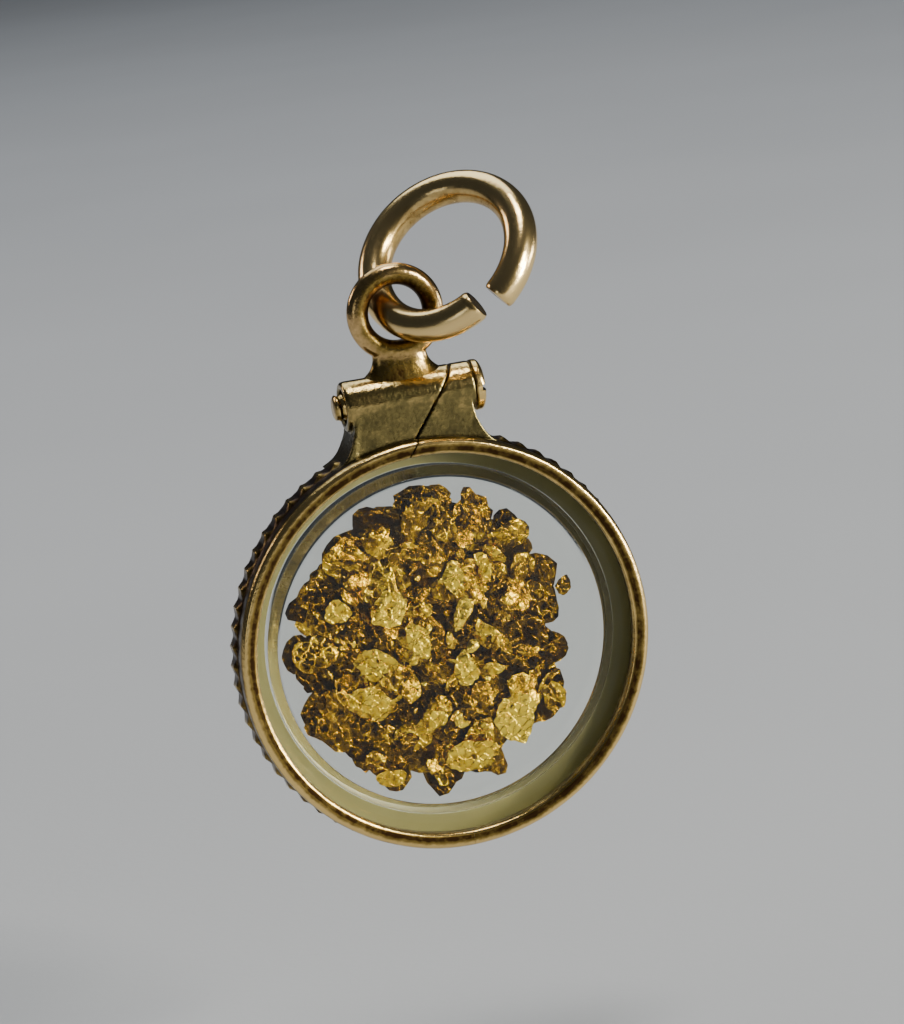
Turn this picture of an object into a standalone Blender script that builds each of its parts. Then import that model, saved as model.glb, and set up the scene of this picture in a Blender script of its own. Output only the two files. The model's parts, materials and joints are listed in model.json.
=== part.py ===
"""Gold flake locket: a split coin-edge bezel clamped round a two-piece glass capsule.

The ring of the bezel is cut once at the top. Half of the barrel sits on each side of the
cut, and a slotted screw along the barrel pulls them together round the glass. A bail eye
stands on the left half of the barrel, and an open jump ring passes through it.
Sizes are metres. +Z is up and the front faces -Y. The origin is the inner top of the
jump ring, where the locket hangs from a chain.
"""
import math
import random

import bpy
import bmesh
import numpy as np
from mathutils import Matrix, Vector

MM = 0.001

# ---- driving sizes --------------------------------------------------------------------
BEZEL_R = 8.25 * MM            # bezel, centre to tooth tips
TOOTH_COUNT = 67
TOOTH_DEPTH = 0.14 * MM
BAND_WALL = 0.29 * MM          # metal between the channel floor and the tooth valleys
BAND_W = 0.8 * MM              # toothed band, front to back
LIP_T = 0.46 * MM              # lip, from the glass to its crest
LIP_REACH = 0.37 * MM          # how far each lip folds in over the glass
KERF = 0.06 * MM               # width of the saw cut through ring and barrel
CUT_LEAN_DEG = 36.5            # saw cut, measured from upright
CUT_X = -0.5 * MM              # where the cut crosses the lip, left of the middle

GLASS_GAP = 0.04 * MM          # glass to metal, all round
SOLDER_GAP = 0.03 * MM         # between pieces that are soldered together
GLASS_W = 2.0 * MM             # capsule, front face to back face
GLASS_BEVEL_W = 0.68 * MM
GLASS_BEVEL_DROP = 0.27 * MM
WINDOW_T = 0.5 * MM            # thickness of each crystal over the gold
CAVITY_WALL = 1.3 * MM         # glass between the cavity's floor and the rim
CAVITY_FLARE = 0.4 * MM        # the cavity wall opens by this much toward the seam
SEAM_GAP = 0.02 * MM

BARREL_L = 5.1 * MM
BARREL_WALL = 0.295 * MM       # thinnest metal round the screw
SADDLE_H = 0.365 * MM          # barrel above the tooth tips
BARREL_EDGE = 0.12 * MM
FOOT_INSET = 0.025 * MM        # saddle's sides, inside the barrel's
FOOT_STEP = 0.2 * MM           # saddle's waist, inside the barrel's ends
FOOT_FLARE = 1.25 * MM         # each end of the saddle runs out along the ring by this
FOOT_EDGE = 0.1 * MM           # height of the saddle's ends above the tooth tips

SCREW_R = 0.52 * MM
HEAD_LAP = 0.025 * MM          # screw head past the barrel's side
SCREW_HEAD_H = 0.45 * MM
SCREW_TIP = 0.35 * MM          # stands out past the left end of the barrel
SLOT_W = 0.24 * MM
SLOT_DEPTH = 0.22 * MM
SCREW_RUN_GAP = 0.05 * MM      # right half of the barrel
SCREW_TILT_GAP = 0.16 * MM     # left half, where the shank tilts as the ring opens

EYE_PLAY = 0.42 * MM           # room between the jump ring's wire and the eye
EYE_WIRE_R = 0.42 * MM
NECK_H = 0.405 * MM            # barrel to the eye's lowest point
NECK_HALF = 1.45 * MM          # half length of the eye's neck on the barrel
NECK_TOP_HALF = 1.1 * MM
NECK_SWELL = 0.055 * MM        # neck's sides, outside the eye's wire
NECK_X = -0.06 * MM            # the neck stands left of the middle, clear of the cut

RING_WIRE_R = 0.64 * MM
RING_R = 3.07 * MM             # jump ring, centre of the wire
RING_OVERHANG = 0.15 * MM      # how far the wire passes beyond the eye's centre
RING_UP_DEG = 38.0             # ring centre, seen from the eye, above level
RING_CROSS_DEG = 53.5          # wire in the eye, turned out of the eye's plane
RING_START_DEG = 90.0          # wire ends, counted round the ring from the eye
RING_END_DEG = 435.5
RING_SPRING_START = -0.1 * MM  # each end is bent sideways by this much
RING_SPRING_END = 0.4 * MM

FLAKE_SLABS = 7                # layers that share the cavity's depth
FLAKE_GAP = 0.03 * MM
FLAKE_T = 0.07 * MM
HEAP_SHARE = 0.84              # the heap's radius in the cavity
HEAP_SHIFT = -0.1              # its middle, left of the cavity's, as a share of its radius
HEAP_FILL = 26
SEED = 11

# ---- places worked out from the sizes -------------------------------------------------
VALLEY_R = BEZEL_R - TOOTH_DEPTH
CHANNEL_R = VALLEY_R - BAND_WALL
LIP_R = CHANNEL_R - LIP_REACH
GLASS_R = CHANNEL_R - GLASS_GAP
CAVITY_R = GLASS_R - CAVITY_WALL
BEZEL_W = GLASS_W + 2 * (GLASS_GAP + LIP_T)
BARREL_R = SCREW_R + SCREW_TILT_GAP + BARREL_WALL
BARREL_Z = BEZEL_R + SADDLE_H + BARREL_R
FOOT_W = 2 * (BARREL_R - FOOT_INSET)
FOOT_WAIST = BARREL_L / 2 - FOOT_STEP
FOOT_SPAN = FOOT_WAIST + FOOT_FLARE
SCREW_HEAD_R = BARREL_R + HEAD_LAP
EYE_R = RING_WIRE_R + EYE_PLAY + 2 * EYE_WIRE_R
EYE_RISE = BARREL_R + NECK_H + EYE_R
EYE_Z = BARREL_Z + EYE_RISE
NECK_W = 2 * (EYE_WIRE_R + NECK_SWELL)


def ring_directions():
    """Unit vectors of the jump ring: toward the eye, along the wire there, and its axis."""
    up = math.radians(RING_UP_DEG)
    cross = math.radians(RING_CROSS_DEG)
    toward = Vector((-math.cos(up), 0.0, -math.sin(up)))
    in_eye_plane = Vector((math.sin(up), 0.0, -math.cos(up)))
    along = math.cos(cross) * in_eye_plane + math.sin(cross) * Vector((0.0, -1.0, 0.0))
    return toward, along, toward.cross(along)


TOWARD_EYE, ALONG_WIRE, RING_AXIS = ring_directions()
EYE_IN_LOCKET = Vector((0.0, 0.0, EYE_Z))
RING_IN_LOCKET = EYE_IN_LOCKET - TOWARD_EYE * (RING_R - RING_OVERHANG)
RING_TOP_DIR = (Vector((0.0, 0.0, 1.0)) - RING_AXIS * RING_AXIS.z).normalized()
HANG_IN_LOCKET = RING_IN_LOCKET + RING_TOP_DIR * (RING_R - RING_WIRE_R)
LOCKET = -HANG_IN_LOCKET


# ---- helpers --------------------------------------------------------------------------
def material(name, colour, roughness, metallic, alpha=1.0):
    """Make a Principled material."""
    mat = bpy.data.materials.new(name)
    mat.use_nodes = True
    shader = mat.node_tree.nodes["Principled BSDF"]
    shader.inputs["Base Color"].default_value = (*colour, 1.0)
    shader.inputs["Roughness"].default_value = roughness
    shader.inputs["Metallic"].default_value = metallic
    shader.inputs["Alpha"].default_value = alpha
    mat.diffuse_color = (*colour, alpha)
    return mat


def link(name, data, mat, parent=None):
    """Put an object in the scene under a parent empty."""
    obj = bpy.data.objects.new(name, data)
    bpy.context.collection.objects.link(obj)
    data.materials.append(mat)
    obj.parent = parent
    return obj


def empty(name, place, parent=None):
    """Make an empty that marks a joint's axis; place is measured from its parent."""
    obj = bpy.data.objects.new(name, None)
    bpy.context.collection.objects.link(obj)
    obj.empty_display_size = MM
    obj.location = place
    obj.parent = parent
    return obj


def mesh_from(name, points, faces):
    """Make a mesh with its faces turned outward and its round parts smooth."""
    mesh = bpy.data.meshes.new(name)
    mesh.from_pydata([tuple(p) for p in points], [], [tuple(f) for f in faces])
    bm = bmesh.new()
    bm.from_mesh(mesh)
    bmesh.ops.recalc_face_normals(bm, faces=bm.faces)
    bm.to_mesh(mesh)
    bm.free()
    mesh.shade_smooth()
    mesh.set_sharp_from_angle(angle=math.radians(35.0))
    return mesh


def loops_to_faces(rows, cols, closed_rows):
    """Faces of a grid whose columns close on themselves; open rows get end caps."""
    faces = []
    last = rows if closed_rows else rows - 1
    for i in range(last):
        j = (i + 1) % rows
        for k in range(cols):
            n = (k + 1) % cols
            faces.append((i * cols + k, i * cols + n, j * cols + n, j * cols + k))
    if not closed_rows:
        faces.append(range(cols))
        faces.append(range((rows - 1) * cols, rows * cols))
    return faces


def turned(profile, steps):
    """Points and faces of a profile of (radius, along) turned about Y; radius 0 makes a pole."""
    points = []
    faces = []
    rings = []
    for radius, along in profile:
        first = len(points)
        if radius == 0.0:
            points.append((0.0, along, 0.0))
            rings.append([first] * steps)
            continue
        for i in range(steps):
            angle = 2.0 * math.pi * i / steps
            points.append((radius * math.cos(angle), along, radius * math.sin(angle)))
        rings.append(list(range(first, first + steps)))
    for a, b in zip(rings, rings[1:]):
        for i in range(steps):
            j = (i + 1) % steps
            corner = [a[i], a[j], b[j], b[i]]
            faces.append(list(dict.fromkeys(corner)))
    return points, faces


def prism(outline, half_w):
    """Points and faces of an outline of (x, z) extruded along Y to both sides."""
    count = len(outline)
    points = [(x, -half_w, z) for x, z in outline]
    points += [(x, half_w, z) for x, z in outline]
    faces = [list(range(count)), list(range(count, 2 * count))]
    for i in range(count):
        j = (i + 1) % count
        faces.append((i, j, count + j, count + i))
    return points, faces


def boolean(obj, cutter, operation):
    """Add a Boolean modifier and hide its cutter."""
    mod = obj.modifiers.new(cutter.name, "BOOLEAN")
    mod.operation = operation
    mod.solver = "EXACT"
    mod.object = cutter
    cutter.hide_render = True
    cutter.display_type = "WIRE"


def cut_angle(radius, offset):
    """Angle at which a circle about the locket's centre meets the saw cut moved by offset."""
    lean = math.radians(CUT_LEAN_DEG)
    distance = CUT_X * math.cos(lean) - LIP_R * math.sin(lean) + offset
    return -lean + math.acos(distance / radius)


# ---- bezel ring -----------------------------------------------------------------------
def bezel_profile():
    """Half section of the bezel as (radius, along Y, follows teeth), front lip to back lip.

    The front lip is a broad flange. The back lip is a plain rolled edge of smaller radius.
    """
    half = BEZEL_W / 2
    band = BAND_W / 2
    seat = GLASS_W / 2 + GLASS_GAP
    lip_seat = seat - GLASS_BEVEL_DROP * (GLASS_R - LIP_R) / GLASS_BEVEL_W
    inside = [
        (CHANNEL_R, seat - GLASS_BEVEL_DROP, False),
        (LIP_R, lip_seat, False),
        (LIP_R - 0.02 * MM, half - 0.2 * MM, False),
        (LIP_R + 0.13 * MM, half - 0.04 * MM, False),
    ]
    flange = [
        (LIP_R + 0.41 * MM, half, False),
        (VALLEY_R - 0.08 * MM, half - 0.14 * MM, False),
        (VALLEY_R - 0.02 * MM, half - 0.36 * MM, False),
        (VALLEY_R - 0.02 * MM, band + 0.2 * MM, False),
        (VALLEY_R, band, True),
    ]
    rolled = [
        (LIP_R + 0.3 * MM, half - 0.05 * MM, False),
        (CHANNEL_R + 0.08 * MM, half - 0.25 * MM, False),
        (CHANNEL_R + 0.15 * MM, half - 0.5 * MM, False),
        (VALLEY_R - 0.06 * MM, band + 0.2 * MM, False),
        (VALLEY_R, band, True),
    ]
    front = [(r, -y, tooth) for r, y, tooth in inside + flange]
    return front + (inside + rolled)[::-1]


def bezel_half(name, side, mat, parent, shift):
    """One half of the bezel ring, from the saw cut at the top to the flex point below."""
    profile = bezel_profile()
    steps = TOOTH_COUNT
    bottom = math.radians(270.0 if side < 0 else -90.0)
    trim = side * KERF / 2 / BEZEL_R
    points = []
    for i in range(steps + 1):
        share = i / steps
        for radius, along, tooth in profile:
            top = cut_angle(radius, side * KERF / 2)
            angle = top + (bottom + trim - top) * share
            reach = radius + (TOOTH_DEPTH if tooth and i % 2 else 0.0)
            points.append((reach * math.cos(angle), along, reach * math.sin(angle)))
    mesh = mesh_from(name, points, loops_to_faces(steps + 1, len(profile), False))
    obj = link(name, mesh, mat, parent)
    mesh.transform(Matrix.Translation(shift))
    return obj


# ---- barrel and its saddle ------------------------------------------------------------
def saddle_outline():
    """Outline of the barrel's saddle in x and z, with a concave flare down to the ring."""
    top = BARREL_Z
    base = BEZEL_R * 0.55
    waist_z = BARREL_Z - 0.85 * BARREL_R
    waist_rise = waist_z - math.sqrt(BEZEL_R ** 2 - FOOT_WAIST ** 2)
    flare = []
    for i in range(9):
        t = i / 8
        x = FOOT_WAIST + (FOOT_SPAN - FOOT_WAIST) * t
        rise = FOOT_EDGE + (waist_rise - FOOT_EDGE) * (1.0 - t) ** 2.5
        flare.append((x, math.sqrt(BEZEL_R ** 2 - x ** 2) + rise))
    right = [(FOOT_WAIST, top)] + flare + [(FOOT_SPAN, base)]
    left = [(-x, z) for x, z in reversed(right)]
    return left + right


def cut_side_box(side):
    """Box that holds everything on one side of the saw cut: -1 is left of it, 1 is right."""
    lean = math.radians(CUT_LEAN_DEG)
    up = Vector((math.sin(lean), 0.0, math.cos(lean)))
    away = Vector((math.cos(lean), 0.0, -math.sin(lean))) * side
    start = Vector((CUT_X, 0.0, LIP_R)) - away * KERF / 2
    size = 4 * BARREL_L
    corners = []
    for depth in (-size, size):
        for out, rise in ((0, -size), (size, -size), (size, size), (0, size)):
            corners.append(start + away * out + up * rise + Vector((0.0, depth, 0.0)))
    faces = [(0, 1, 2, 3), (4, 5, 6, 7), (0, 1, 5, 4), (1, 2, 6, 5), (2, 3, 7, 6), (3, 0, 4, 7)]
    return corners, faces


def along_x(points):
    """Turn points modelled about Y so that they lie about X."""
    return [(y, -x, z) for x, y, z in points]


def barrel_half(name, side, bore_r, mat, parent, shift):
    """Half of the clamp barrel with its saddle, cut by the saw and by the ring below it."""
    half = BARREL_L / 2
    tube = [
        (0.0, -half),
        (BARREL_R - BARREL_EDGE, -half),
        (BARREL_R, -half + BARREL_EDGE),
        (BARREL_R, half - BARREL_EDGE),
        (BARREL_R - BARREL_EDGE, half),
        (0.0, half),
    ]
    points, faces = turned(tube, 28)
    body = mesh_from(name, along_x(points), faces)
    body.transform(Matrix.Translation((0.0, 0.0, BARREL_Z)))
    obj = link(name, body, mat, parent)

    tools = []
    points, faces = prism(saddle_outline(), FOOT_W / 2)
    tools.append(("saddle", points, faces, "UNION"))
    ring_bore = [
        (0.0, -BEZEL_W),
        (BEZEL_R + SOLDER_GAP, -BEZEL_W),
        (BEZEL_R + SOLDER_GAP, BEZEL_W),
        (0.0, BEZEL_W),
    ]
    points, faces = turned(ring_bore, 120)
    tools.append(("ring_seat", points, faces, "DIFFERENCE"))
    bore = [(0.0, -BARREL_L), (bore_r, -BARREL_L), (bore_r, BARREL_L), (0.0, BARREL_L)]
    points, faces = turned(bore, 20)
    points = [(x, y, z + BARREL_Z) for x, y, z in along_x(points)]
    tools.append(("bore", points, faces, "DIFFERENCE"))
    points, faces = cut_side_box(-side)
    tools.append(("saw", points, faces, "DIFFERENCE"))
    for tool_name, points, faces, operation in tools:
        tool_mesh = mesh_from(f"{name}_{tool_name}", points, faces)
        tool_mesh.transform(Matrix.Translation(shift))
        cutter = link(f"{name}_{tool_name}", tool_mesh, mat, parent)
        boolean(obj, cutter, operation)
    body.transform(Matrix.Translation(shift))
    return obj


# ---- clamp screw ----------------------------------------------------------------------
def clamp_screw(mat, parent):
    """Slotted screw along the barrel, with its origin in the middle of the barrel."""
    under_head = BARREL_L / 2 + SOLDER_GAP
    crown = under_head + SCREW_HEAD_H
    end = -BARREL_L / 2 - SCREW_TIP
    profile = [
        (0.0, end),
        (SCREW_R - 0.16 * MM, end),
        (SCREW_R, end + 0.14 * MM),
        (SCREW_R, under_head),
        (SCREW_HEAD_R - 0.04 * MM, under_head),
        (SCREW_HEAD_R, under_head + 0.06 * MM),
        (SCREW_HEAD_R, crown - 0.18 * MM),
        (SCREW_HEAD_R - 0.2 * MM, crown - 0.04 * MM),
        (0.0, crown),
    ]
    points, faces = turned(profile, 28)
    obj = link("clamp_screw", mesh_from("clamp_screw", along_x(points), faces), mat, parent)
    wide = 2 * SCREW_HEAD_R
    outline = [
        (crown - SLOT_DEPTH, -SLOT_W / 2),
        (crown + wide, -SLOT_W / 2),
        (crown + wide, SLOT_W / 2),
        (crown - SLOT_DEPTH, SLOT_W / 2),
    ]
    points, faces = prism(outline, wide)
    cutter = link("screw_slot", mesh_from("screw_slot", points, faces), mat, parent)
    boolean(obj, cutter, "DIFFERENCE")
    return obj


# ---- bail eye -------------------------------------------------------------------------
def bail_eye(mat, parent):
    """Eye ring with its flared neck, seated on the barrel, with its origin in the hole."""
    centre_r = EYE_R - EYE_WIRE_R
    rows, cols = 40, 12
    points = []
    for i in range(rows):
        angle = 2.0 * math.pi * i / rows
        for k in range(cols):
            turn = 2.0 * math.pi * k / cols
            reach = centre_r + EYE_WIRE_R * math.cos(turn)
            across = EYE_WIRE_R * math.sin(turn)
            points.append((reach * math.cos(angle), across, reach * math.sin(angle)))
    obj = link("bail_eye", mesh_from("bail_eye", points, loops_to_faces(rows, cols, True)), mat, parent)

    top = -(EYE_R - EYE_WIRE_R * 0.9)
    base = -EYE_RISE
    seat = -(EYE_RISE - BARREL_R)
    outline = []
    for i in range(7):
        t = i / 6
        x = NECK_TOP_HALF + (NECK_HALF - NECK_TOP_HALF) * (1.0 - math.cos(t * math.pi / 2))
        outline.append((NECK_X + x, top + (seat - top) * math.sin(t * math.pi / 2)))
    outline += [(NECK_X + NECK_HALF, base), (NECK_X - NECK_HALF, base)]
    outline += [(2 * NECK_X - x, z) for x, z in reversed(outline[:7])]
    points, faces = prism(outline, NECK_W / 2)
    neck = link("eye_neck", mesh_from("eye_neck", points, faces), mat, parent)
    boolean(obj, neck, "UNION")
    seat_r = BARREL_R + SOLDER_GAP
    points, faces = turned([(0.0, -BARREL_L), (seat_r, -BARREL_L), (seat_r, BARREL_L), (0.0, BARREL_L)], 40)
    points = [(x, y, z - EYE_RISE) for x, y, z in along_x(points)]
    seat_tool = link("eye_seat", mesh_from("eye_seat", points, faces), mat, parent)
    boolean(obj, seat_tool, "DIFFERENCE")
    return obj


# ---- jump ring ------------------------------------------------------------------------
def jump_ring(mat, parent):
    """Open jump ring: one bent wire whose two ends are sprung sideways."""
    count = 60
    curve = bpy.data.curves.new("jump_ring", "CURVE")
    curve.dimensions = "3D"
    curve.bevel_depth = RING_WIRE_R
    curve.bevel_resolution = 4
    curve.render_resolution_u = 0
    curve.use_fill_caps = True
    spline = curve.splines.new("POLY")
    spline.points.add(count - 1)
    for i, angle_deg in enumerate(np.linspace(RING_START_DEG, RING_END_DEG, count)):
        angle = math.radians(angle_deg)
        end_share = max(0.0, (angle_deg - 360.0) / (RING_END_DEG - 360.0))
        start_share = max(0.0, 1.0 - (angle_deg - RING_START_DEG) / 60.0)
        side = RING_SPRING_END * end_share ** 1.5 + RING_SPRING_START * start_share ** 2
        place = RING_R * (math.cos(angle) * TOWARD_EYE + math.sin(angle) * ALONG_WIRE)
        spline.points[i].co = (*(place + RING_AXIS * side), 1.0)
    return link("jump_ring", curve, mat, parent)


# ---- glass capsule --------------------------------------------------------------------
def crystal(name, side, mat, parent):
    """One dished crystal; side -1 faces the front, 1 the back."""
    face = GLASS_W / 2
    floor = face - WINDOW_T
    seam = SEAM_GAP / 2
    profile = [
        (0.0, side * face),
        (GLASS_R - GLASS_BEVEL_W, side * face),
        (GLASS_R, side * (face - GLASS_BEVEL_DROP)),
        (GLASS_R, side * seam),
        (CAVITY_R + CAVITY_FLARE, side * seam),
        (CAVITY_R, side * floor),
        (0.0, side * floor),
    ]
    points, faces = turned(profile, 96)
    return link(name, mesh_from(name, points, faces), mat, parent)


# ---- gold flakes ----------------------------------------------------------------------
# Chosen flakes of the heap: x and z of the middle as shares of the cavity's radius, then
# length and width in millimetres and the turn of the length in degrees.
CHOSEN_FLAKES = [
    (0.39, -0.55, 2.1, 1.95, 70.0),
    (0.12, -0.20, 1.7, 0.95, 95.0),
    (-0.15, 0.02, 1.7, 1.0, 105.0),
    (-0.30, 0.25, 1.75, 1.5, 60.0),
    (0.12, 0.36, 1.3, 1.0, 80.0),
    (0.32, 0.38, 0.9, 0.65, 80.0),
    (0.15, 0.16, 1.9, 0.7, 62.0),
    (-0.41, -0.08, 2.1, 1.35, 160.0),
    (-0.51, -0.29, 2.15, 1.35, 165.0),
    (-0.42, -0.77, 1.4, 0.8, 0.0),
    (0.08, -0.73, 2.3, 1.5, 10.0),
    (-0.61, 0.29, 1.2, 1.1, 0.0),
    (0.29, -0.23, 1.0, 0.55, 165.0),
    (-0.09, -0.47, 0.9, 0.8, 0.0),
    (0.06, -0.51, 0.8, 0.7, 40.0),
    (-0.14, 0.49, 2.3, 1.9, 20.0),
    (0.10, 0.70, 1.6, 1.2, 80.0),
    (0.78, 0.20, 0.85, 0.7, 60.0),
    (0.64, -0.46, 1.5, 1.0, 100.0),
]


def flake_mesh(name, length, width, rng):
    """Thin plate with an uneven rim and a shallow dome, lying in the XZ plane."""
    count = 12
    lobes = [rng.uniform(0.0, 2.0 * math.pi) for _ in range(3)]
    rim = []
    for i in range(count):
        angle = 2.0 * math.pi * i / count
        wave = 1.0 + 0.06 * math.sin(2 * angle + lobes[0]) + 0.05 * math.sin(3 * angle + lobes[1])
        wave += 0.04 * math.sin(5 * angle + lobes[2])
        scale = wave / 1.15
        rim.append((length / 2 * scale * math.cos(angle), width / 2 * scale * math.sin(angle)))
    dome = FLAKE_T * 0.3
    points = [(x, -FLAKE_T / 2 + dome, z) for x, z in rim]
    points += [(x, FLAKE_T / 2, z) for x, z in rim]
    points += [(0.0, -FLAKE_T / 2, 0.0), (0.0, FLAKE_T / 2 - dome, 0.0)]
    faces = []
    for i in range(count):
        j = (i + 1) % count
        faces.append((i, j, count + j, count + i))
        faces.append((j, i, 2 * count))
        faces.append((count + i, count + j, 2 * count + 1))
    return mesh_from(name, points, faces)


def heap_places(rng):
    """All flakes as (x, z, length, width, turn, slab); slab 0 is the front one.

    Each flake takes the first slab, counted from the front for the chosen ones and from
    the back for the rest, where its circle clears every flake already lying there.
    """
    slabs = [[] for _ in range(FLAKE_SLABS)]
    heap = []

    def clear(x, z, reach, slab):
        for ox, oz, other in slabs[slab]:
            if math.hypot(ox - x, oz - z) < reach + other + FLAKE_GAP:
                return False
        return True

    for x_share, z_share, length_mm, width_mm, turn in CHOSEN_FLAKES:
        length = length_mm * MM
        width = width_mm * MM
        reach = max(length, width) / 2
        out = min(math.hypot(x_share, z_share) * CAVITY_R, CAVITY_R - reach)
        spin = math.atan2(z_share, x_share)
        x = out * math.cos(spin)
        z = out * math.sin(spin)
        for slab in range(FLAKE_SLABS):
            if clear(x, z, reach, slab):
                slabs[slab].append((x, z, reach))
                heap.append((x, z, length, width, turn, slab))
                break
    tries = 0
    added = 0
    while added < HEAP_FILL and tries < 4000:
        tries += 1
        length = rng.uniform(1.7, 2.7) * MM
        width = length * rng.uniform(0.7, 0.95)
        spin = rng.uniform(0.0, 2.0 * math.pi)
        out = (HEAP_SHARE * CAVITY_R - length / 2) * math.sqrt(rng.random())
        x = HEAP_SHIFT * CAVITY_R + out * math.cos(spin)
        z = out * math.sin(spin)
        for slab in reversed(range(FLAKE_SLABS)):
            if clear(x, z, length / 2, slab):
                slabs[slab].append((x, z, length / 2))
                heap.append((x, z, length, width, rng.uniform(0.0, 180.0), slab))
                added += 1
                break
    return heap


def gold_flakes(mat, parent):
    """Every flake as its own plate, each in a slab of the cavity's depth."""
    rng = random.Random(SEED)
    depth = GLASS_W - 2 * WINDOW_T
    pitch = depth / FLAKE_SLABS
    for number, (x, z, length, width, turn, slab) in enumerate(heap_places(rng), start=1):
        name = f"gold_flake_{number:02d}"
        obj = link(name, flake_mesh(name, length, width, rng), mat, parent)
        obj.location = (x, -depth / 2 + (slab + 0.5) * pitch, z)
        obj.rotation_euler = (0.0, -math.radians(turn), 0.0)


# ---- assembly -------------------------------------------------------------------------
def build():
    """Clear the scene and build the locket under the empties of its joints."""
    for obj in list(bpy.data.objects):
        bpy.data.objects.remove(obj, do_unlink=True)

    bezel_gold = material("bezel_gold", (0.42, 0.31, 0.14), 0.35, 1.0)
    barrel_gold = material("barrel_gold", (0.38, 0.30, 0.15), 0.4, 1.0)
    eye_gold = material("eye_gold", (0.45, 0.33, 0.17), 0.35, 1.0)
    ring_gold = material("ring_gold", (0.62, 0.47, 0.25), 0.2, 1.0)
    screw_gold = material("screw_gold", (0.55, 0.42, 0.24), 0.3, 1.0)
    clear_glass = material("crystal_glass", (0.88, 0.93, 0.88), 0.05, 0.0, 0.3)
    flake_gold = material("flake_gold", (0.75, 0.48, 0.10), 0.4, 1.0)

    ring_pivot = empty("ring_pivot", LOCKET + RING_IN_LOCKET)
    eye_pivot = empty("eye_pivot", LOCKET + EYE_IN_LOCKET)
    flex = Vector((0.0, 0.0, -BEZEL_R))
    flex_pivot = empty("flex_pivot", flex - EYE_IN_LOCKET, eye_pivot)
    screw_pivot = empty("screw_pivot", Vector((0.0, 0.0, BARREL_Z)) - flex, flex_pivot)
    capsule_pivot = empty("capsule_pivot", -EYE_IN_LOCKET, eye_pivot)
    heap_pivot = empty("heap_pivot", (0.0, 0.0, 0.0), capsule_pivot)

    jump_ring(ring_gold, ring_pivot)
    bail_eye(eye_gold, eye_pivot)
    bezel_half("bezel_ring_left", -1, bezel_gold, eye_pivot, -EYE_IN_LOCKET)
    bezel_half("bezel_ring_right", 1, bezel_gold, flex_pivot, -flex)
    barrel_half("barrel_left", -1, SCREW_R + SCREW_TILT_GAP, barrel_gold, eye_pivot, -EYE_IN_LOCKET)
    barrel_half("barrel_right", 1, SCREW_R + SCREW_RUN_GAP, barrel_gold, flex_pivot, -flex)
    clamp_screw(screw_gold, screw_pivot)
    crystal("front_glass", -1, clear_glass, capsule_pivot)
    crystal("rear_glass", 1, clear_glass, capsule_pivot)
    gold_flakes(flake_gold, heap_pivot)


build()
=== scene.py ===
"""Looks of the gold flake locket: coin-edge bezel, clamp barrel, eye, jump ring, glass and gold.

Every surface is worked out with numpy on a grid, in metres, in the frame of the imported
model, and then gets a finish made of nodes. The pieces ride on the bodies of that model.
"""
import json
import logging
import math
from dataclasses import dataclass, field
from enum import Enum
from typing import Callable, Sequence

import bpy
import numpy as np
from mathutils import Matrix, Vector


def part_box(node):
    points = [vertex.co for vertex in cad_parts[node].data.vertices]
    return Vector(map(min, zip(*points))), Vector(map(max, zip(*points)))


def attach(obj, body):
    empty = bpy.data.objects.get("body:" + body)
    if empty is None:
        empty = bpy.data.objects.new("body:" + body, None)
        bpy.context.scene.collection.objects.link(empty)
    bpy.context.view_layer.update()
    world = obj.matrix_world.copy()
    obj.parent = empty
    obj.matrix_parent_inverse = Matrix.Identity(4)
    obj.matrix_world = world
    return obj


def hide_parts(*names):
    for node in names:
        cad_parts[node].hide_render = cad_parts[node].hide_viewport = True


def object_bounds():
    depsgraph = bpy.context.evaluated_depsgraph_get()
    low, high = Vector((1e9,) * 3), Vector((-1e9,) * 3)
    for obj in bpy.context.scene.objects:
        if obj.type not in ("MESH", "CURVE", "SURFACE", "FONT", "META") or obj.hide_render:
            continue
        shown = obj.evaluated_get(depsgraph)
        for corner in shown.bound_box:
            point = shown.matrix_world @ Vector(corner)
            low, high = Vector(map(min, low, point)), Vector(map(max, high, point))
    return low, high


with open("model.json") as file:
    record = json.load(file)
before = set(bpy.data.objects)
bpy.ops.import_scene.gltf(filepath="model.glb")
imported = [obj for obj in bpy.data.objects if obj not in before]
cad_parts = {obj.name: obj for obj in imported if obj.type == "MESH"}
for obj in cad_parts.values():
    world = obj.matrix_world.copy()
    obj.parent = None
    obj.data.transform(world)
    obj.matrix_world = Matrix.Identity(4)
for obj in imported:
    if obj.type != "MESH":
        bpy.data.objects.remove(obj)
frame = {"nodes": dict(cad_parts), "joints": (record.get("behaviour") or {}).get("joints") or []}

CAD_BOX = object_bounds()
LOG = logging.getLogger("locket")
MM = 0.001
GOLDEN_ANGLE = 2.39996
Array = np.ndarray
Pair = tuple[float, float]
Colour = tuple[float, float, float]
Place = tuple[float, float, float]
Socket = bpy.types.NodeSocket


# ---- noise and grids ------------------------------------------------------------------
def lattice(cells: Array, seed: int) -> Array:
    """Random value in 0..1 for each whole-number cell.

    Args:
        cells: whole numbers, shape (..., 3).
        seed: picks one field among many.

    Returns:
        The value of each cell: the fraction of a large sine of a mixed sum of its indices.
    """
    mixed = cells @ np.array([127.1, 311.7, 74.7]) + seed * 53.23
    wave = np.sin(mixed) * 43758.5453
    return wave - np.floor(wave)


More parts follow.
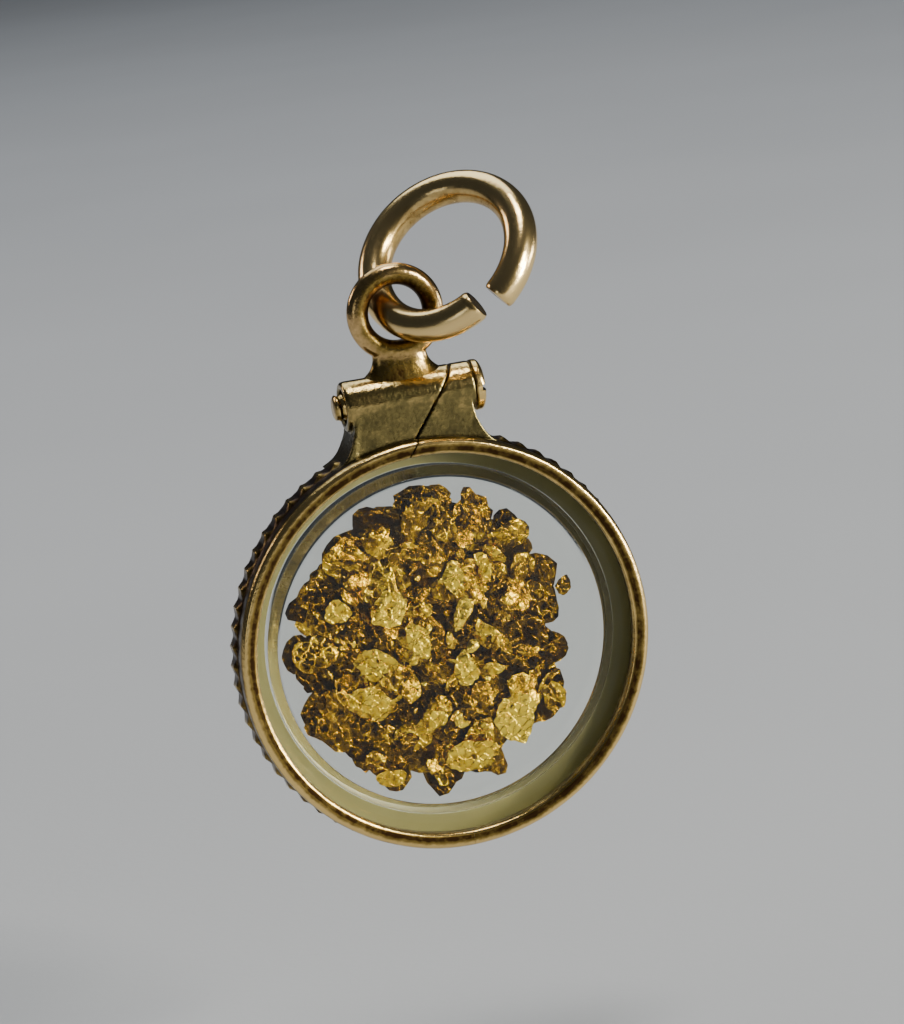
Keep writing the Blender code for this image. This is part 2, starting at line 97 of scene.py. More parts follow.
def value_noise(points: Array, size: float, seed: int) -> Array:
    """Smooth noise: lattice values blended with 3t^2 - 2t^3 along each axis.

    Args:
        points: places, shape (..., 3).
        size: width of one lattice cell.
        seed: picks the field.

    Returns:
        Noise in 0..1 with the shape of the points less their last axis.
    """
    scaled = points / size
    base = np.floor(scaled)
    part = scaled - base
    ease = part * part * (3.0 - 2.0 * part)
    total = np.zeros(points.shape[:-1])
    for corner in np.ndindex(2, 2, 2):
        step = np.array(corner)
        weight = np.prod(np.where(step == 1, ease, 1.0 - ease), axis=-1)
        total += weight * lattice(base + step, seed)
    return total


def rough_noise(points: Array, size: float, seed: int, octaves: int = 3) -> Array:
    """Sum of noise at halving sizes and weights, centred on 0.

    Args:
        points: places, shape (..., 3).
        size: width of the largest cell.
        seed: picks the field.
        octaves: number of sizes.

    Returns:
        Noise in about -1..1.
    """
    total = np.zeros(points.shape[:-1])
    for level in range(octaves):
        total += 0.5 ** level * (2.0 * value_noise(points, size / 2 ** level, seed + level) - 1.0)
    return total / (2.0 - 0.5 ** (octaves - 1))


def creased_noise(points: Array, size: float, seed: int) -> Array:
    """Folded noise with sharp ridges, as in crumpled foil: 1 - |noise| at two sizes.

    Args:
        points: places, shape (..., 3).
        size: width of the larger cell.
        seed: picks the field.

    Returns:
        Height in about 0..1, with its creases at the top.
    """
    wide = 1.0 - np.abs(2.0 * value_noise(points, size, seed) - 1.0) * 1.6
    fine = 1.0 - np.abs(2.0 * value_noise(points, size * 0.43, seed + 7) - 1.0) * 1.6
    return 0.65 * wide + 0.35 * fine


def smooth_step(value: Array, low: float, high: float) -> Array:
    """3t^2 - 2t^3 of how far value lies from low to high, held to 0..1."""
    part = np.clip((value - low) / (high - low), 0.0, 1.0)
    return part * part * (3.0 - 2.0 * part)


def rounded_loop(corners: Sequence[tuple[float, float]], steps: int) -> Array:
    """Closed curve through the corners: a Catmull-Rom spline with the given steps each.

    Args:
        corners: points of the loop, in order.
        steps: samples for each corner.

    Returns:
        Points of the loop, shape (len(corners) * steps, 2).
    """
    points = np.array(corners, float)
    share = np.arange(steps)[:, None] / steps
    before, here = np.roll(points, 1, 0), points
    after, later = np.roll(points, -1, 0), np.roll(points, -2, 0)
    pieces = []
    for p, a, b, q in zip(before, here, after, later):
        slope_a, slope_b = (b - p) * 0.35, (q - a) * 0.35
        cubic = (2 * share ** 3 - 3 * share ** 2 + 1) * a + (share ** 3 - 2 * share ** 2 + share) * slope_a
        cubic += (3 * share ** 2 - 2 * share ** 3) * b + (share ** 3 - share ** 2) * slope_b
        pieces.append(cubic)
    return np.concatenate(pieces)


class Ends(Enum):
    """How a grid of loops is finished at its first and last loop."""

    CAPPED = "capped"
    JOINED = "joined"
    POLES = "poles"


def grid_faces(rows: int, cols: int, joined: bool) -> Array:
    """Quads between neighbouring loops whose points run round and close.

    Args:
        rows: number of loops.
        cols: points in each loop.
        joined: True if the last loop meets the first.

    Returns:
        Corner indices, shape (faces, 4).
    """
    first = np.arange(rows if joined else rows - 1)[:, None]
    second = (first + 1) % rows
    here = np.arange(cols)[None, :]
    following = (here + 1) % cols
    quads = [first * cols + here, first * cols + following, second * cols + following, second * cols + here]
    return np.stack([q.ravel() for q in np.broadcast_arrays(*quads)], axis=1)


@dataclass
class Shape:
    """Points, faces and named values of one closed surface."""

    points: Array
    faces: list[Array]
    values: dict[str, Array] = field(default_factory=dict)

    @staticmethod
    def from_loops(loops: Array, ends: Ends, values: dict[str, Array] | None = None) -> "Shape":
        """Close a stack of loops into a surface.

        Args:
            loops: points, shape (rows, cols, 3).
            ends: joined end to end, capped with a fan, or shrunk to one point at both ends.
            values: named values, each of shape (rows, cols).

        Returns:
            The closed surface.
        """
        rows, cols = loops.shape[:2]
        points = loops.reshape(-1, 3)
        faces = [grid_faces(rows, cols, ends is Ends.JOINED)]
        flat = {name: value.reshape(-1) for name, value in (values or {}).items()}
        if ends is Ends.JOINED:
            return Shape(points, faces, flat)
        middles = np.stack([loops[0].mean(0), loops[-1].mean(0)])
        here = np.arange(cols)
        after = (here + 1) % cols
        low, high = len(points), len(points) + 1
        last = (rows - 1) * cols
        faces.append(np.stack([after, here, np.full(cols, low)], axis=1))
        faces.append(np.stack([last + here, last + after, np.full(cols, high)], axis=1))
        ends_of = {name: [value[:cols].mean(), value[-cols:].mean()] for name, value in flat.items()}
        flat = {name: np.concatenate([value, ends_of[name]]) for name, value in flat.items()}
        return Shape(np.concatenate([points, middles]), faces, flat)

    @staticmethod
    def joined(shapes: Sequence["Shape"]) -> "Shape":
        """Put several surfaces in one, each still closed by itself.

        Args:
            shapes: surfaces with the same named values.

        Returns:
            One surface that holds them all.
        """
        faces: list[Array] = []
        start = 0
        for shape in shapes:
            faces += [part + start for part in shape.faces]
            start += len(shape.points)
        names = shapes[0].values
        values = {name: np.concatenate([s.values[name] for s in shapes]) for name in names}
        return Shape(np.concatenate([s.points for s in shapes]), faces, values)

    def make(self, name: str, sharp_deg: float = 50.0) -> bpy.types.Object:
        """Make the mesh object, with its faces outward and its creases kept.

        Args:
            name: name of the piece.
            sharp_deg: edges that turn by more than this stay sharp.

        Returns:
            The new object, at the origin.
        """
        mesh = bpy.data.meshes.new(name)
        faces = [tuple(row) for part in self.faces for row in part.tolist()]
        mesh.from_pydata(self.points.tolist(), [], faces)
        for key, value in self.values.items():
            attribute = mesh.attributes.new(key, "FLOAT", "POINT")
            attribute.data.foreach_set("value", value.astype(np.float32))
        mesh.update()
        if signed_volume(self.points, self.faces) < 0.0:
            mesh.flip_normals()
        mesh.shade_smooth()
        mesh.set_sharp_from_angle(angle=math.radians(sharp_deg))
        obj = bpy.data.objects.new(name, mesh)
        bpy.context.scene.collection.objects.link(obj)
        return obj


def signed_volume(points: Array, faces: Sequence[Array]) -> float:
    """Volume of a closed surface: a sixth of the sum of a . (b x c) over its triangles.

    Args:
        points: corners, shape (n, 3).
        faces: arrays of corner indices, one row for each face.

    Returns:
        The volume, negative if the faces look inward.
    """
    total = 0.0
    for part in faces:
        for corner in range(1, part.shape[1] - 1):
            a, b, c = points[part[:, 0]], points[part[:, corner]], points[part[:, corner + 1]]
            total += float(np.einsum("ij,ij->", a, np.cross(b, c))) / 6.0
    return total


def turned(profile: Array, steps: int, axis: str, centre: Array) -> Array:
    """Loops of a turned shape: each (radius, along) becomes a circle about the axis.

    Args:
        profile: radius and place along the axis, shape (rows, 2).
        steps: points round the circle.
        axis: "x" or "y".
        centre: point of the axis from which along is measured.

    Returns:
        Points, shape (rows, steps, 3): centre + along * axis + radius * (cos, sin).
    """
    turn = np.linspace(0.0, 2.0 * np.pi, steps, endpoint=False)
    radius, along = profile[:, :1], profile[:, 1:]
    flat, high = radius * np.cos(turn), radius * np.sin(turn)
    length = np.broadcast_to(along, flat.shape)
    if axis == "y":
        return centre + np.stack([flat, length, high], axis=-1)
    return centre + np.stack([length, flat, high], axis=-1)


# ---- node finishes --------------------------------------------------------------------
class Finish:
    """Small helper that wires a material's nodes."""

    def __init__(self, name: str) -> None:
        """Start an empty material with a Principled shader and its output.

        Args:
            name: name of the material.
        """
        self.mat = bpy.data.materials.new(name)
        self.mat.use_nodes = True
        self.nodes = self.mat.node_tree.nodes
        self.links = self.mat.node_tree.links
        self.shader = self.nodes["Principled BSDF"]
        self.output = self.nodes["Material Output"]
        self.place = self.nodes.new("ShaderNodeTexCoord").outputs["Object"]

    def node(self, kind: str, inputs: dict | None = None, **settings: object) -> bpy.types.Node:
        """Add a node, set its settings, and set or link its inputs.

        Args:
            kind: Blender's node type.
            inputs: socket name or number to a value or an output socket.
            settings: properties of the node.

        Returns:
            The new node.
        """
        made = self.nodes.new(kind)
        for key, value in settings.items():
            setattr(made, key, value)
        for key, value in (inputs or {}).items():
            if isinstance(value, bpy.types.NodeSocket):
                self.links.new(value, made.inputs[key])
            else:
                made.inputs[key].default_value = value
        return made

    def noise(self, size: float, detail: float = 4.0, stretch: tuple[float, ...] = (1, 1, 1)) -> Socket:
        """Noise that is stretched along the axes.

        Args:
            size: width of its features, in metres.
            detail: Blender's detail, the number of finer layers.
            stretch: frequency along x, y and z.

        Returns:
            The noise, in 0..1.
        """
        mapped = self.node("ShaderNodeMapping", {"Vector": self.place, "Scale": stretch})
        inputs = {"Vector": mapped.outputs[0], "Scale": 1.0 / size, "Detail": detail}
        return self.node("ShaderNodeTexNoise", inputs).outputs["Fac"]

    def spread(self, size: float, reach: float) -> Socket:
        """Shift that changes from place to place.

        Args:
            size: width over which it changes, in metres.
            reach: about twice the greatest shift, in metres.

        Returns:
            The shift, a vector.
        """
        made = self.node("ShaderNodeTexNoise", {"Vector": self.place, "Scale": 1.0 / size, "Detail": 2.0})
        scaled = self.node("ShaderNodeVectorMath", {0: made.outputs["Color"]}, operation="SCALE")
        scaled.inputs["Scale"].default_value = reach
        return scaled.outputs[0]

    def value(self, name: str) -> Socket:
        """The piece's own named value."""
        return self.node("ShaderNodeAttribute", attribute_name=name).outputs["Fac"]

    def math(self, operation: str, *inputs: object, clamp: bool = False) -> Socket:
        """One Math node of sockets and numbers."""
        made = self.node("ShaderNodeMath", dict(enumerate(inputs)), operation=operation, use_clamp=clamp)
        return made.outputs[0]

    def ramp(self, factor: Socket, stops: Sequence[tuple[float, Colour]]) -> Socket:
        """Colour ramp through (place, colour) stops.

        Args:
            factor: what the ramp reads.
            stops: places from 0 to 1 with their linear colours.

        Returns:
            The colour socket.
        """
        made = self.node("ShaderNodeValToRGB", {"Fac": factor})
        band = made.color_ramp
        while len(band.elements) < len(stops):
            band.elements.new(0.5)
        for element, (place, colour) in zip(band.elements, stops):
            element.position = place
            element.color = (*colour, 1.0)
        return made.outputs["Color"]

    def number_ramp(self, factor: Socket, low: float, high: float, start: float = 0.0,
                    end: float = 1.0) -> Socket:
        """Number that goes from low to high as the factor goes from start to end."""
        inputs = {"Value": factor, "From Min": start, "From Max": end, "To Min": low, "To Max": high}
        return self.node("ShaderNodeMapRange", inputs).outputs["Result"]

    def swing(self, value: Socket, middle: float, gain: float) -> Socket:
        """The value's distance from its middle, times a gain."""
        return self.math("MULTIPLY", self.math("SUBTRACT", value, middle), gain)

    def bump(self, height: Socket, depth: float, strength: float = 1.0,
             under: Socket | None = None) -> Socket:
        """Bump in the surface.

        Args:
            height: what raises it.
            depth: full height, in metres.
            strength: share of it that is used.
            under: another bump that it lies on.

        Returns:
            The bent normal.
        """
        inputs: dict = {"Height": height, "Distance": depth, "Strength": strength}
        if under is not None:
            inputs["Normal"] = under
        return self.node("ShaderNodeBump", inputs).outputs["Normal"]


@dataclass(frozen=True)
class WornAndShadedGold:
    """Gold-filled metal: bright where it is rubbed or a highlight is painted, olive between, brown where
    dirt stays or shade is painted.
    """

    name: str
    bright: Colour = (0.86, 0.60, 0.22)
    middle: Colour = (0.23, 0.155, 0.04)
    dark: Colour = (0.035, 0.017, 0.006)
    polish: float = 0.2
    grain: float = 3.0e-6
    tarnish: float = 0.0

    def make(self) -> bpy.types.Material:
        """Wire the finish: the wear-and-shading value, which holds rubbed wear and painted highlight and
        shade, and two noises choose the tone, the gloss and the grain.

        Returns:
            The material.
        """
        f = Finish(self.name)
        blotch = f.noise(0.9 * MM, 5.0)
        speck = f.noise(0.16 * MM, 6.0)
        # The tone ramp reads wear and painted highlight and shade together.
        wear = f.math("ADD", f.value("wear"), f.swing(blotch, 0.5, 0.7))
        wear = f.math("ADD", wear, f.swing(speck, 0.5, 0.5))
        wear = f.math("SUBTRACT", wear, self.tarnish, clamp=True)
        stops = [(0.12, self.dark), (0.42, self.middle), (0.85, self.bright)]
        f.links.new(f.ramp(wear, stops), f.shader.inputs["Base Color"])
        f.links.new(f.number_ramp(wear, 0.34, self.polish, 0.1, 0.7), f.shader.inputs["Roughness"])
        f.shader.inputs["Metallic"].default_value = 1.0
        scratch = f.noise(0.05 * MM, 3.0, (1.0, 0.25, 1.0))
        coarse = f.bump(speck, self.grain * 4.0)
        f.links.new(f.bump(scratch, self.grain, under=coarse), f.shader.inputs["Normal"])
        return f.mat


@dataclass(frozen=True)
class ClearGlass:
    """Pressed glass with a faint green body, fine scratches and soft waves."""

    name: str
    tint: Colour = (0.97, 0.985, 0.96)
    # Olive colour painted on the ground rim and seam, standing for the gold bezel seen through the glass.
    ground: Colour = (0.19, 0.17, 0.06)
    refraction: float = 1.5
    reflection: Colour = (0.3, 0.3, 0.3)

    def make(self) -> bpy.types.Material:
        """Wire the glass, matte where it is ground and painted olive there as a reflection of the gold bezel
        seen through the rim; lamps shine through to the gold.

        Returns:
            The material.
        """
        f = Finish(self.name)
        matte_and_gold_reflection = f.value("ground")
        # Painted reflection: the ground parts turn olive.
        f.links.new(f.ramp(matte_and_gold_reflection, [(0.1, self.tint), (0.9, self.ground)]), f.shader.inputs["Base Color"])
        f.links.new(f.number_ramp(matte_and_gold_reflection, 1.0, 0.5), f.shader.inputs["Transmission Weight"])
        f.shader.inputs["IOR"].default_value = self.refraction
        haze = f.noise(0.35 * MM, 8.0, (1.0, 1.0, 6.0))
        clouded = f.number_ramp(haze, 0.0, 0.008, 0.6, 0.85)
        rough = f.math("ADD", clouded, f.number_ramp(matte_and_gold_reflection, 0.0, 0.5), clamp=True)
        f.links.new(rough, f.shader.inputs["Roughness"])
        wave = f.noise(2.5 * MM, 2.0)
        hair = f.noise(0.08 * MM, 2.0, (0.08, 1.0, 1.0))
        normal = f.bump(hair, 0.4e-6, under=f.bump(wave, 6.0e-6))
        f.links.new(normal, f.shader.inputs["Normal"])
        f.shader.inputs["Coat Weight"].default_value = 0.1
        f.shader.inputs["Coat Roughness"].default_value = 0.05
        f.shader.inputs["Specular IOR Level"].default_value = 0.15
        f.shader.inputs["Specular Tint"].default_value = (*self.reflection, 1.0)
        lamp = f.node("ShaderNodeLightPath").outputs["Is Shadow Ray"]
        open_air = f.node("ShaderNodeBsdfTransparent", {"Color": (*self.tint, 1.0)})
        mix = f.node("ShaderNodeMixShader", {0: lamp, 1: f.shader.outputs[0], 2: open_air.outputs[0]})
        f.links.new(mix.outputs[0], f.output.inputs["Surface"])
        return f.mat


@dataclass(frozen=True)
class CrumpledGold:
    """Natural leaf gold: a tone for each flake that holds its own colour and painted light, a painted
    highlight on its creases and veins, painted shade in its folds.
    """

    name: str
    stops: tuple[tuple[float, Colour], ...] = (
        (0.08, (0.020, 0.008, 0.0004)), (0.40, (0.25, 0.125, 0.001)),
        (0.66, (0.86, 0.52, 0.006)), (0.92, (1.0, 0.69, 0.04)),
    )
    cell: float = 0.34 * MM

    def make(self) -> bpy.types.Material:
        """Wire the finish from the flake's tone-and-shading value, its crease heights, fine veins and two
        noises; creases and veins are painted lighter, folds painted darker.

        Returns:
            The material.
        """
        f = Finish(self.name)
        mottle = f.noise(0.3 * MM, 6.0)
        fold_and_shade = f.noise(0.2 * MM, 4.0)
        shift = f.spread(0.25 * MM, 0.22 * MM)
        warp = f.node("ShaderNodeVectorMath", {0: f.place, 1: shift}, operation="ADD")
        inputs = {"Vector": warp.outputs[0], "Scale": 1.0 / self.cell}
        crackle = f.node("ShaderNodeTexVoronoi", inputs, feature="DISTANCE_TO_EDGE").outputs["Distance"]
        # The crackle's edges make veins that are both bumped and painted lighter as a glint.
        vein_and_glint = f.number_ramp(crackle, 1.0, 0.0, 0.0, 0.09)
        tone = f.math("ADD", f.value("tone"), f.swing(mottle, 0.5, 0.5))
        # Painted shade: the low parts of the fold noise, which are also bumped down, are made browner.
        tone = f.math("ADD", tone, f.swing(fold_and_shade, 0.5, 0.9))
        tone = f.math("ADD", tone, f.math("MULTIPLY", vein_and_glint, 0.32))
        # Painted highlight on the crease ridges, painted shade in the hollows between them.
        tone = f.math("ADD", tone, f.swing(f.value("crease"), 0.55, 0.5), clamp=True)
        f.links.new(f.ramp(tone, self.stops), f.shader.inputs["Base Color"])
        f.shader.inputs["Metallic"].default_value = 1.0
        f.links.new(f.number_ramp(mottle, 0.10, 0.26, 0.35, 0.65), f.shader.inputs["Roughness"])
        normal = f.bump(fold_and_shade, 40.0e-6, under=f.bump(vein_and_glint, 22.0e-6))
        f.links.new(normal, f.shader.inputs["Normal"])
        return f.mat


@dataclass(frozen=True)
class PaleBoard:
    """Matte board with a faint tooth, for the floor."""

    name: str
    colour: Colour = (0.46, 0.47, 0.49)

    def make(self) -> bpy.types.Material:
        """Wire a pale matte board with a soft change of tone and a fine tooth.

        Returns:
            The material.
        """
        f = Finish(self.name)
        cloud = f.noise(60.0 * MM, 2.0)
        low = tuple(c * 0.95 for c in self.colour)
        f.links.new(f.ramp(cloud, [(0.3, low), (0.7, self.colour)]), f.shader.inputs["Base Color"])
        f.shader.inputs["Roughness"].default_value = 0.85
        f.links.new(f.bump(f.noise(0.4 * MM, 4.0), 8.0e-6), f.shader.inputs["Normal"])
        return f.mat


def dress(obj: bpy.types.Object, material: bpy.types.Material) -> bpy.types.Object:
    """Give a piece its finish.

    Args:
        obj: the piece.
        material: its finish.

    Returns:
        The same piece.
    """
    obj.data.materials.clear()
    obj.data.materials.append(material)
    return obj


def centre_of(*nodes: str) -> Array:
    """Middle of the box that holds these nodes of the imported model.

    Args:
        nodes: names of the nodes.

    Returns:
        The point.
    """
    low = np.min([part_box(n)[0] for n in nodes], axis=0)
    high = np.max([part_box(n)[1] for n in nodes], axis=0)
    return (low + high) / 2.0


def height_of(joint: str) -> float:
    """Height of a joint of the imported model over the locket's centre.

    Args:
        joint: name of the joint.

    Returns:
        The height, in metres.
    """
    found = next(j for j in frame["joints"] if j["name"] == joint)
    return found["pos_m"][2] - float(centre_of("front_glass", "rear_glass")[2])


# ---- sub-assemblies -------------------------------------------------------------------
@dataclass
class Layout:
    """Places that the pieces share; the barrel's and the eye's are their joints' heights."""

    locket: Array = field(default_factory=lambda: centre_of("front_glass", "rear_glass"))
    rim_r: float = 8.25 * MM
    cut_lean: float = math.radians(36.5)
    cut_x: float = -0.5 * MM
    cut_z: float = 7.45 * MM
    kerf: float = 0.06 * MM
    barrel_r: float = 0.975 * MM
    barrel_half: float = 2.55 * MM
    barrel_rise: float = field(default_factory=lambda: height_of("screw_turn"))
    eye_rise: float = field(default_factory=lambda: height_of("locket_swing"))

    def cut_angle(self, radius: Array, side: int) -> Array:
        """Angle where a circle of this radius meets one side of the saw cut.

        Args:
            radius: distances from the locket's centre.
            side: -1 for the left face of the cut, 1 for the right one.

        Returns:
            -lean + acos(d / radius), where d is the cut's distance from the centre.
        """
        reach = self.cut_x * math.cos(self.cut_lean) - self.cut_z * math.sin(self.cut_lean)
        return -self.cut_lean + np.arccos((reach + side * self.kerf / 2) / radius)

    def cut_line(self, height: Array, side: int) -> Array:
        """Where the saw cut is at each height.

        Args:
            height: heights above the locket's centre.
            side: -1 for the left face of the cut, 1 for the right one.

        Returns:
            x of that face, which leans by the cut's angle.
        """
        middle = self.cut_x + (height - self.cut_z) * math.tan(self.cut_lean)
        return middle + side * self.kerf / 2 / math.cos(self.cut_lean)


@dataclass
class CoinEdgeBezel:
    """The split ring: a C section with a toothed band outside and a beaded lip at each face."""

    layout: Layout
    teeth: int = 67
    tooth_depth: float = 0.13 * MM
    steps_per_tooth: int = 12
    band_half: float = 0.4 * MM
    joint_gap: float = 0.008 * MM

    def section(self) -> tuple[Array, Array]:
        """Rounded C section, set out as (radius, along, wear and shading) in millimetres and smoothed. The
        last column mixes rubbed wear with painted light: a painted highlight on the front crest and the
        lip's inner edge, painted shade on the front's inner slope and beside the toothed band.

        Returns:
            Points (radius, along) of the outline, and the wear-and-shading value at each.
        """
        # Last column: wear and painted light; 0.85 at the lip's inner edge is a painted highlight.
        inside = [
            (7.82, 0.78, 0.5), (7.62, 0.86, 0.4), (7.462, 0.94, 0.3), (7.445, 1.14, 0.35),
            (7.45, 1.32, 0.5), (7.50, 1.42, 0.85),
        ]
        # Front face: painted highlight on the crest (1.05), painted shade on the inner slope (0.15) and
        # beside the band (0.0).
        front = inside + [
            (7.60, 1.465, 0.15), (7.72, 1.48, 0.15), (7.84, 1.495, 0.5), (7.94, 1.475, 1.05),
            (8.02, 1.39, 0.8), (8.07, 1.26, 0.3), (8.08, 1.10, 0.1), (8.07, 0.85, 0.1),
            (8.04, 0.62, 0.0), (8.04, 0.51, 0.0), (8.075, 0.42, 0.3), (8.08, 0.1, 0.3),
        ]
        back = inside + [
            (7.60, 1.46, 0.7), (7.72, 1.45, 0.8), (7.82, 1.38, 0.6), (7.89, 1.22, 0.4), (7.94, 1.0, 0.3),
            (7.98, 0.75, 0.15), (8.02, 0.56, 0.0), (8.03, 0.48, 0.0), (8.075, 0.40, 0.3), (8.08, 0.1, 0.3),
        ]
        loop = back + [(r, -y, w) for r, y, w in reversed(front)]
        outline = rounded_loop([(r, y) for r, y, _ in loop], 3) * MM
        share = np.arange(len(outline)) / 3.0
        wear = np.interp(share, np.arange(len(loop) + 1), [w for *_, w in loop] + [loop[0][2]])
        return outline, wear

    def half(self, side: int) -> Shape:
        """Half ring: the section carried round from the saw cut to the bottom.

        A point is (r + tooth) * (cos a, sin a), where a runs from the cut's angle at that
        radius to half the joint's gap short of straight down, and tooth is the depth times a
        triangle wave of a.

        Args:
            side: -1 for the left half, 1 for the right one.

        Returns:
            The closed surface with its wear-and-shading value.
        """
        outline, wear = self.section()
        radius, along = outline[:, 0], outline[:, 1]
        rows = self.teeth * self.steps_per_tooth // 2
        share = np.linspace(0.0, 1.0, rows)[:, None]
        top = self.layout.cut_angle(radius, side)[None, :]
        down = math.radians(270.0 if side < 0 else -90.0)
        bottom = down + side * self.joint_gap / 2 / self.layout.rim_r
        angle = top + (bottom - top) * share
        wave = np.abs(((angle * self.teeth / (2.0 * np.pi)) % 1.0) * 2.0 - 1.0)
        band = smooth_step(-np.abs(along), -self.band_half - 0.04 * MM, -self.band_half + 0.05 * MM)
        outer = smooth_step(radius, 7.95 * MM, 8.05 * MM)
        tooth = (wave ** 1.15) * band * outer
        level = np.broadcast_to(along, angle.shape)
        place = np.stack([radius * np.cos(angle), level, radius * np.sin(angle)], -1)
        dent = rough_noise(place, 1.6 * MM, 5) * 0.02 * MM
        reach = radius + tooth * self.tooth_depth + dent * smooth_step(radius, 7.5 * MM, 7.7 * MM) * 0.6
        ring = np.stack([reach * np.cos(angle), level, reach * np.sin(angle)], -1)
        # Painted shade darkens the toothed band; the tooth tips are made lighter, as rubbed wear.
        worn_and_shaded = np.clip(wear - 0.3 * band * outer + 0.55 * tooth ** 2, 0.0, 1.0)
        return Shape.from_loops(ring + self.layout.locket, Ends.CAPPED, {"wear": worn_and_shaded})

    def build(self, finish: bpy.types.Material) -> list[bpy.types.Object]:
        """Make both halves, dress them and let them ride.

        Args:
            finish: their material.

        Returns:
            The pieces.
        """
        made = []
        for side, label, body in ((-1, "left", "frame"), (1, "right", "right_half")):
            obj = dress(self.half(side).make(f"coin_edge_{label}"), finish)
            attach(obj, body)
            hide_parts(f"bezel_ring_{label}")
            made.append(obj)
        return made


@dataclass
class ClampBarrel:
    """Barrel tube on a flared saddle, soldered to the ring and cut by the same slanted saw cut."""

    layout: Layout
    left_bore: float = 0.68 * MM
    right_bore: float = 0.57 * MM
    saddle_r: float = 0.84 * MM
    saddle_half_w: float = 0.93 * MM
    flare_l: float = 1.1 * MM
    floor_r: float = 8.0 * MM
    edge: float = 0.1 * MM
    strips: int = 15
    voxel: float = 0.042 * MM

    def tube(self, side: int, bore_r: float) -> Shape:
        """Half of the tube: a hollow section carried round, its inner end on the saw cut.

        The section runs out along the outer wall and back along the bore. A point's place
        along the barrel goes from the free end to the cut's x at that point's height.

        Args:
            side: -1 for the left half, 1 for the right one.
            bore_r: radius of the hole for the screw.

        Returns:
            The closed tube.
        """
        ease = self.edge / self.layout.barrel_half
        outer, inner = self.layout.barrel_r, bore_r
        section = np.array([
            (inner, 1.0), (inner, 0.5), (inner, 0.0), (inner + 0.3 * self.edge, 0.0),
            (outer - self.edge, 0.0), (outer - 0.3 * self.edge, 0.3 * ease), (outer, ease),
            (outer, 0.3), (outer, 0.65), (outer, 1.0),
        ])
        turn = np.linspace(0.0, 2.0 * np.pi, 64, endpoint=False)[:, None]
        radius, share = section[None, :, 0], section[None, :, 1]
        height = self.layout.barrel_rise + radius * np.sin(turn)
        across = radius * np.cos(turn)
        start = side * self.layout.barrel_half
        cut = self.layout.cut_line(height, side)
        along = start + (cut - start) * share
        points = np.stack([along, across, height], axis=-1)
        return Shape.from_loops(points + self.layout.locket, Ends.JOINED)

    def saddle(self, side: int) -> Shape:
        """Saddle between tube and ring, with its end run out along the ring.

        Each section across the saddle has its floor on the ring's circle and its roof on a
        circle under the tube. Past the tube's end the roof falls as (1 - t)^3.5.

        Args:
            side: -1 for the left half, 1 for the right one.

        Returns:
            The closed saddle.
        """
        layout = self.layout
        waist = layout.barrel_half - 0.2 * MM
        share = np.linspace(0.0, 1.0, 46)[:, None]
        width = np.linspace(-1.0, 1.0, self.strips)
        across = np.concatenate([width, width[::-1]])[None, :] * self.saddle_half_w
        roof = np.arange(2 * self.strips)[None, :] < self.strips
        end = side * (waist + self.flare_l)
        rise = np.maximum(self.saddle_r ** 2 - across ** 2, 0.01 * self.saddle_r ** 2)
        under = layout.barrel_rise - np.sqrt(rise)
        cut = layout.cut_line(np.where(roof, under, self.floor_r), side)
        along = end + (cut - end) * share
        floor = np.sqrt(self.floor_r ** 2 - along ** 2)
        past = np.clip((np.abs(along) - waist) / self.flare_l, 0.0, 1.0)
        low_end = np.sqrt((self.floor_r + 0.07 * MM) ** 2 - along ** 2)
        neck = layout.barrel_rise - self.saddle_r
        fall = low_end + (neck - low_end) * (1.0 - past) ** 3.5
        top = np.where(past > 0.0, fall, under)
        bulge = 1.0 + 0.06 * smooth_step(layout.rim_r + 0.5 * MM - top, 0.0, 0.6 * MM)
        height = np.where(roof, top, floor)
        points = np.stack([along, across * bulge, height], axis=-1)
        return Shape.from_loops(points + layout.locket, Ends.CAPPED)

    def build(self, finish: bpy.types.Material) -> list[bpy.types.Object]:
        """Melt tube and saddle of each half together as solder does, and dress them.

        Args:
            finish: their material.

        Returns:
            The pieces.
        """
        made = []
        halves = ((-1, "left", "frame", self.left_bore), (1, "right", "right_half", self.right_bore))
        for side, label, body, bore in halves:
            obj = Shape.joined([self.tube(side, bore), self.saddle(side)]).make(f"clamp_barrel_{label}")
            soften(obj, self.voxel, 5)
            add_wear_and_shading(obj, self.wear)
            dress(obj, finish)
            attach(obj, body)
            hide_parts(f"barrel_{label}")
            made.append(obj)
        return made

    def wear(self, points: Array) -> Array:
        """Wear and painted light that grow with the square of the height from the ring to the tube's top:
        painted shade down by the ring, a painted highlight up on the tube.

        Args:
            points: places, shape (n, 3).

        Returns:
            Wear and shading in 0..1, higher toward the front as a painted highlight, with noise.
        """
        layout = self.layout
        local = points - layout.locket
        up = (local[:, 2] - layout.rim_r) / (layout.barrel_rise + layout.barrel_r - layout.rim_r)
        # Painted highlight: the front is made lighter.
        front = smooth_step(-local[:, 1], -1.0 * MM, 1.0 * MM) * 0.15
        return np.clip(0.22 + 0.42 * up ** 2 + front + rough_noise(points, 0.5 * MM, 9) * 0.15, 0.0, 1.0)


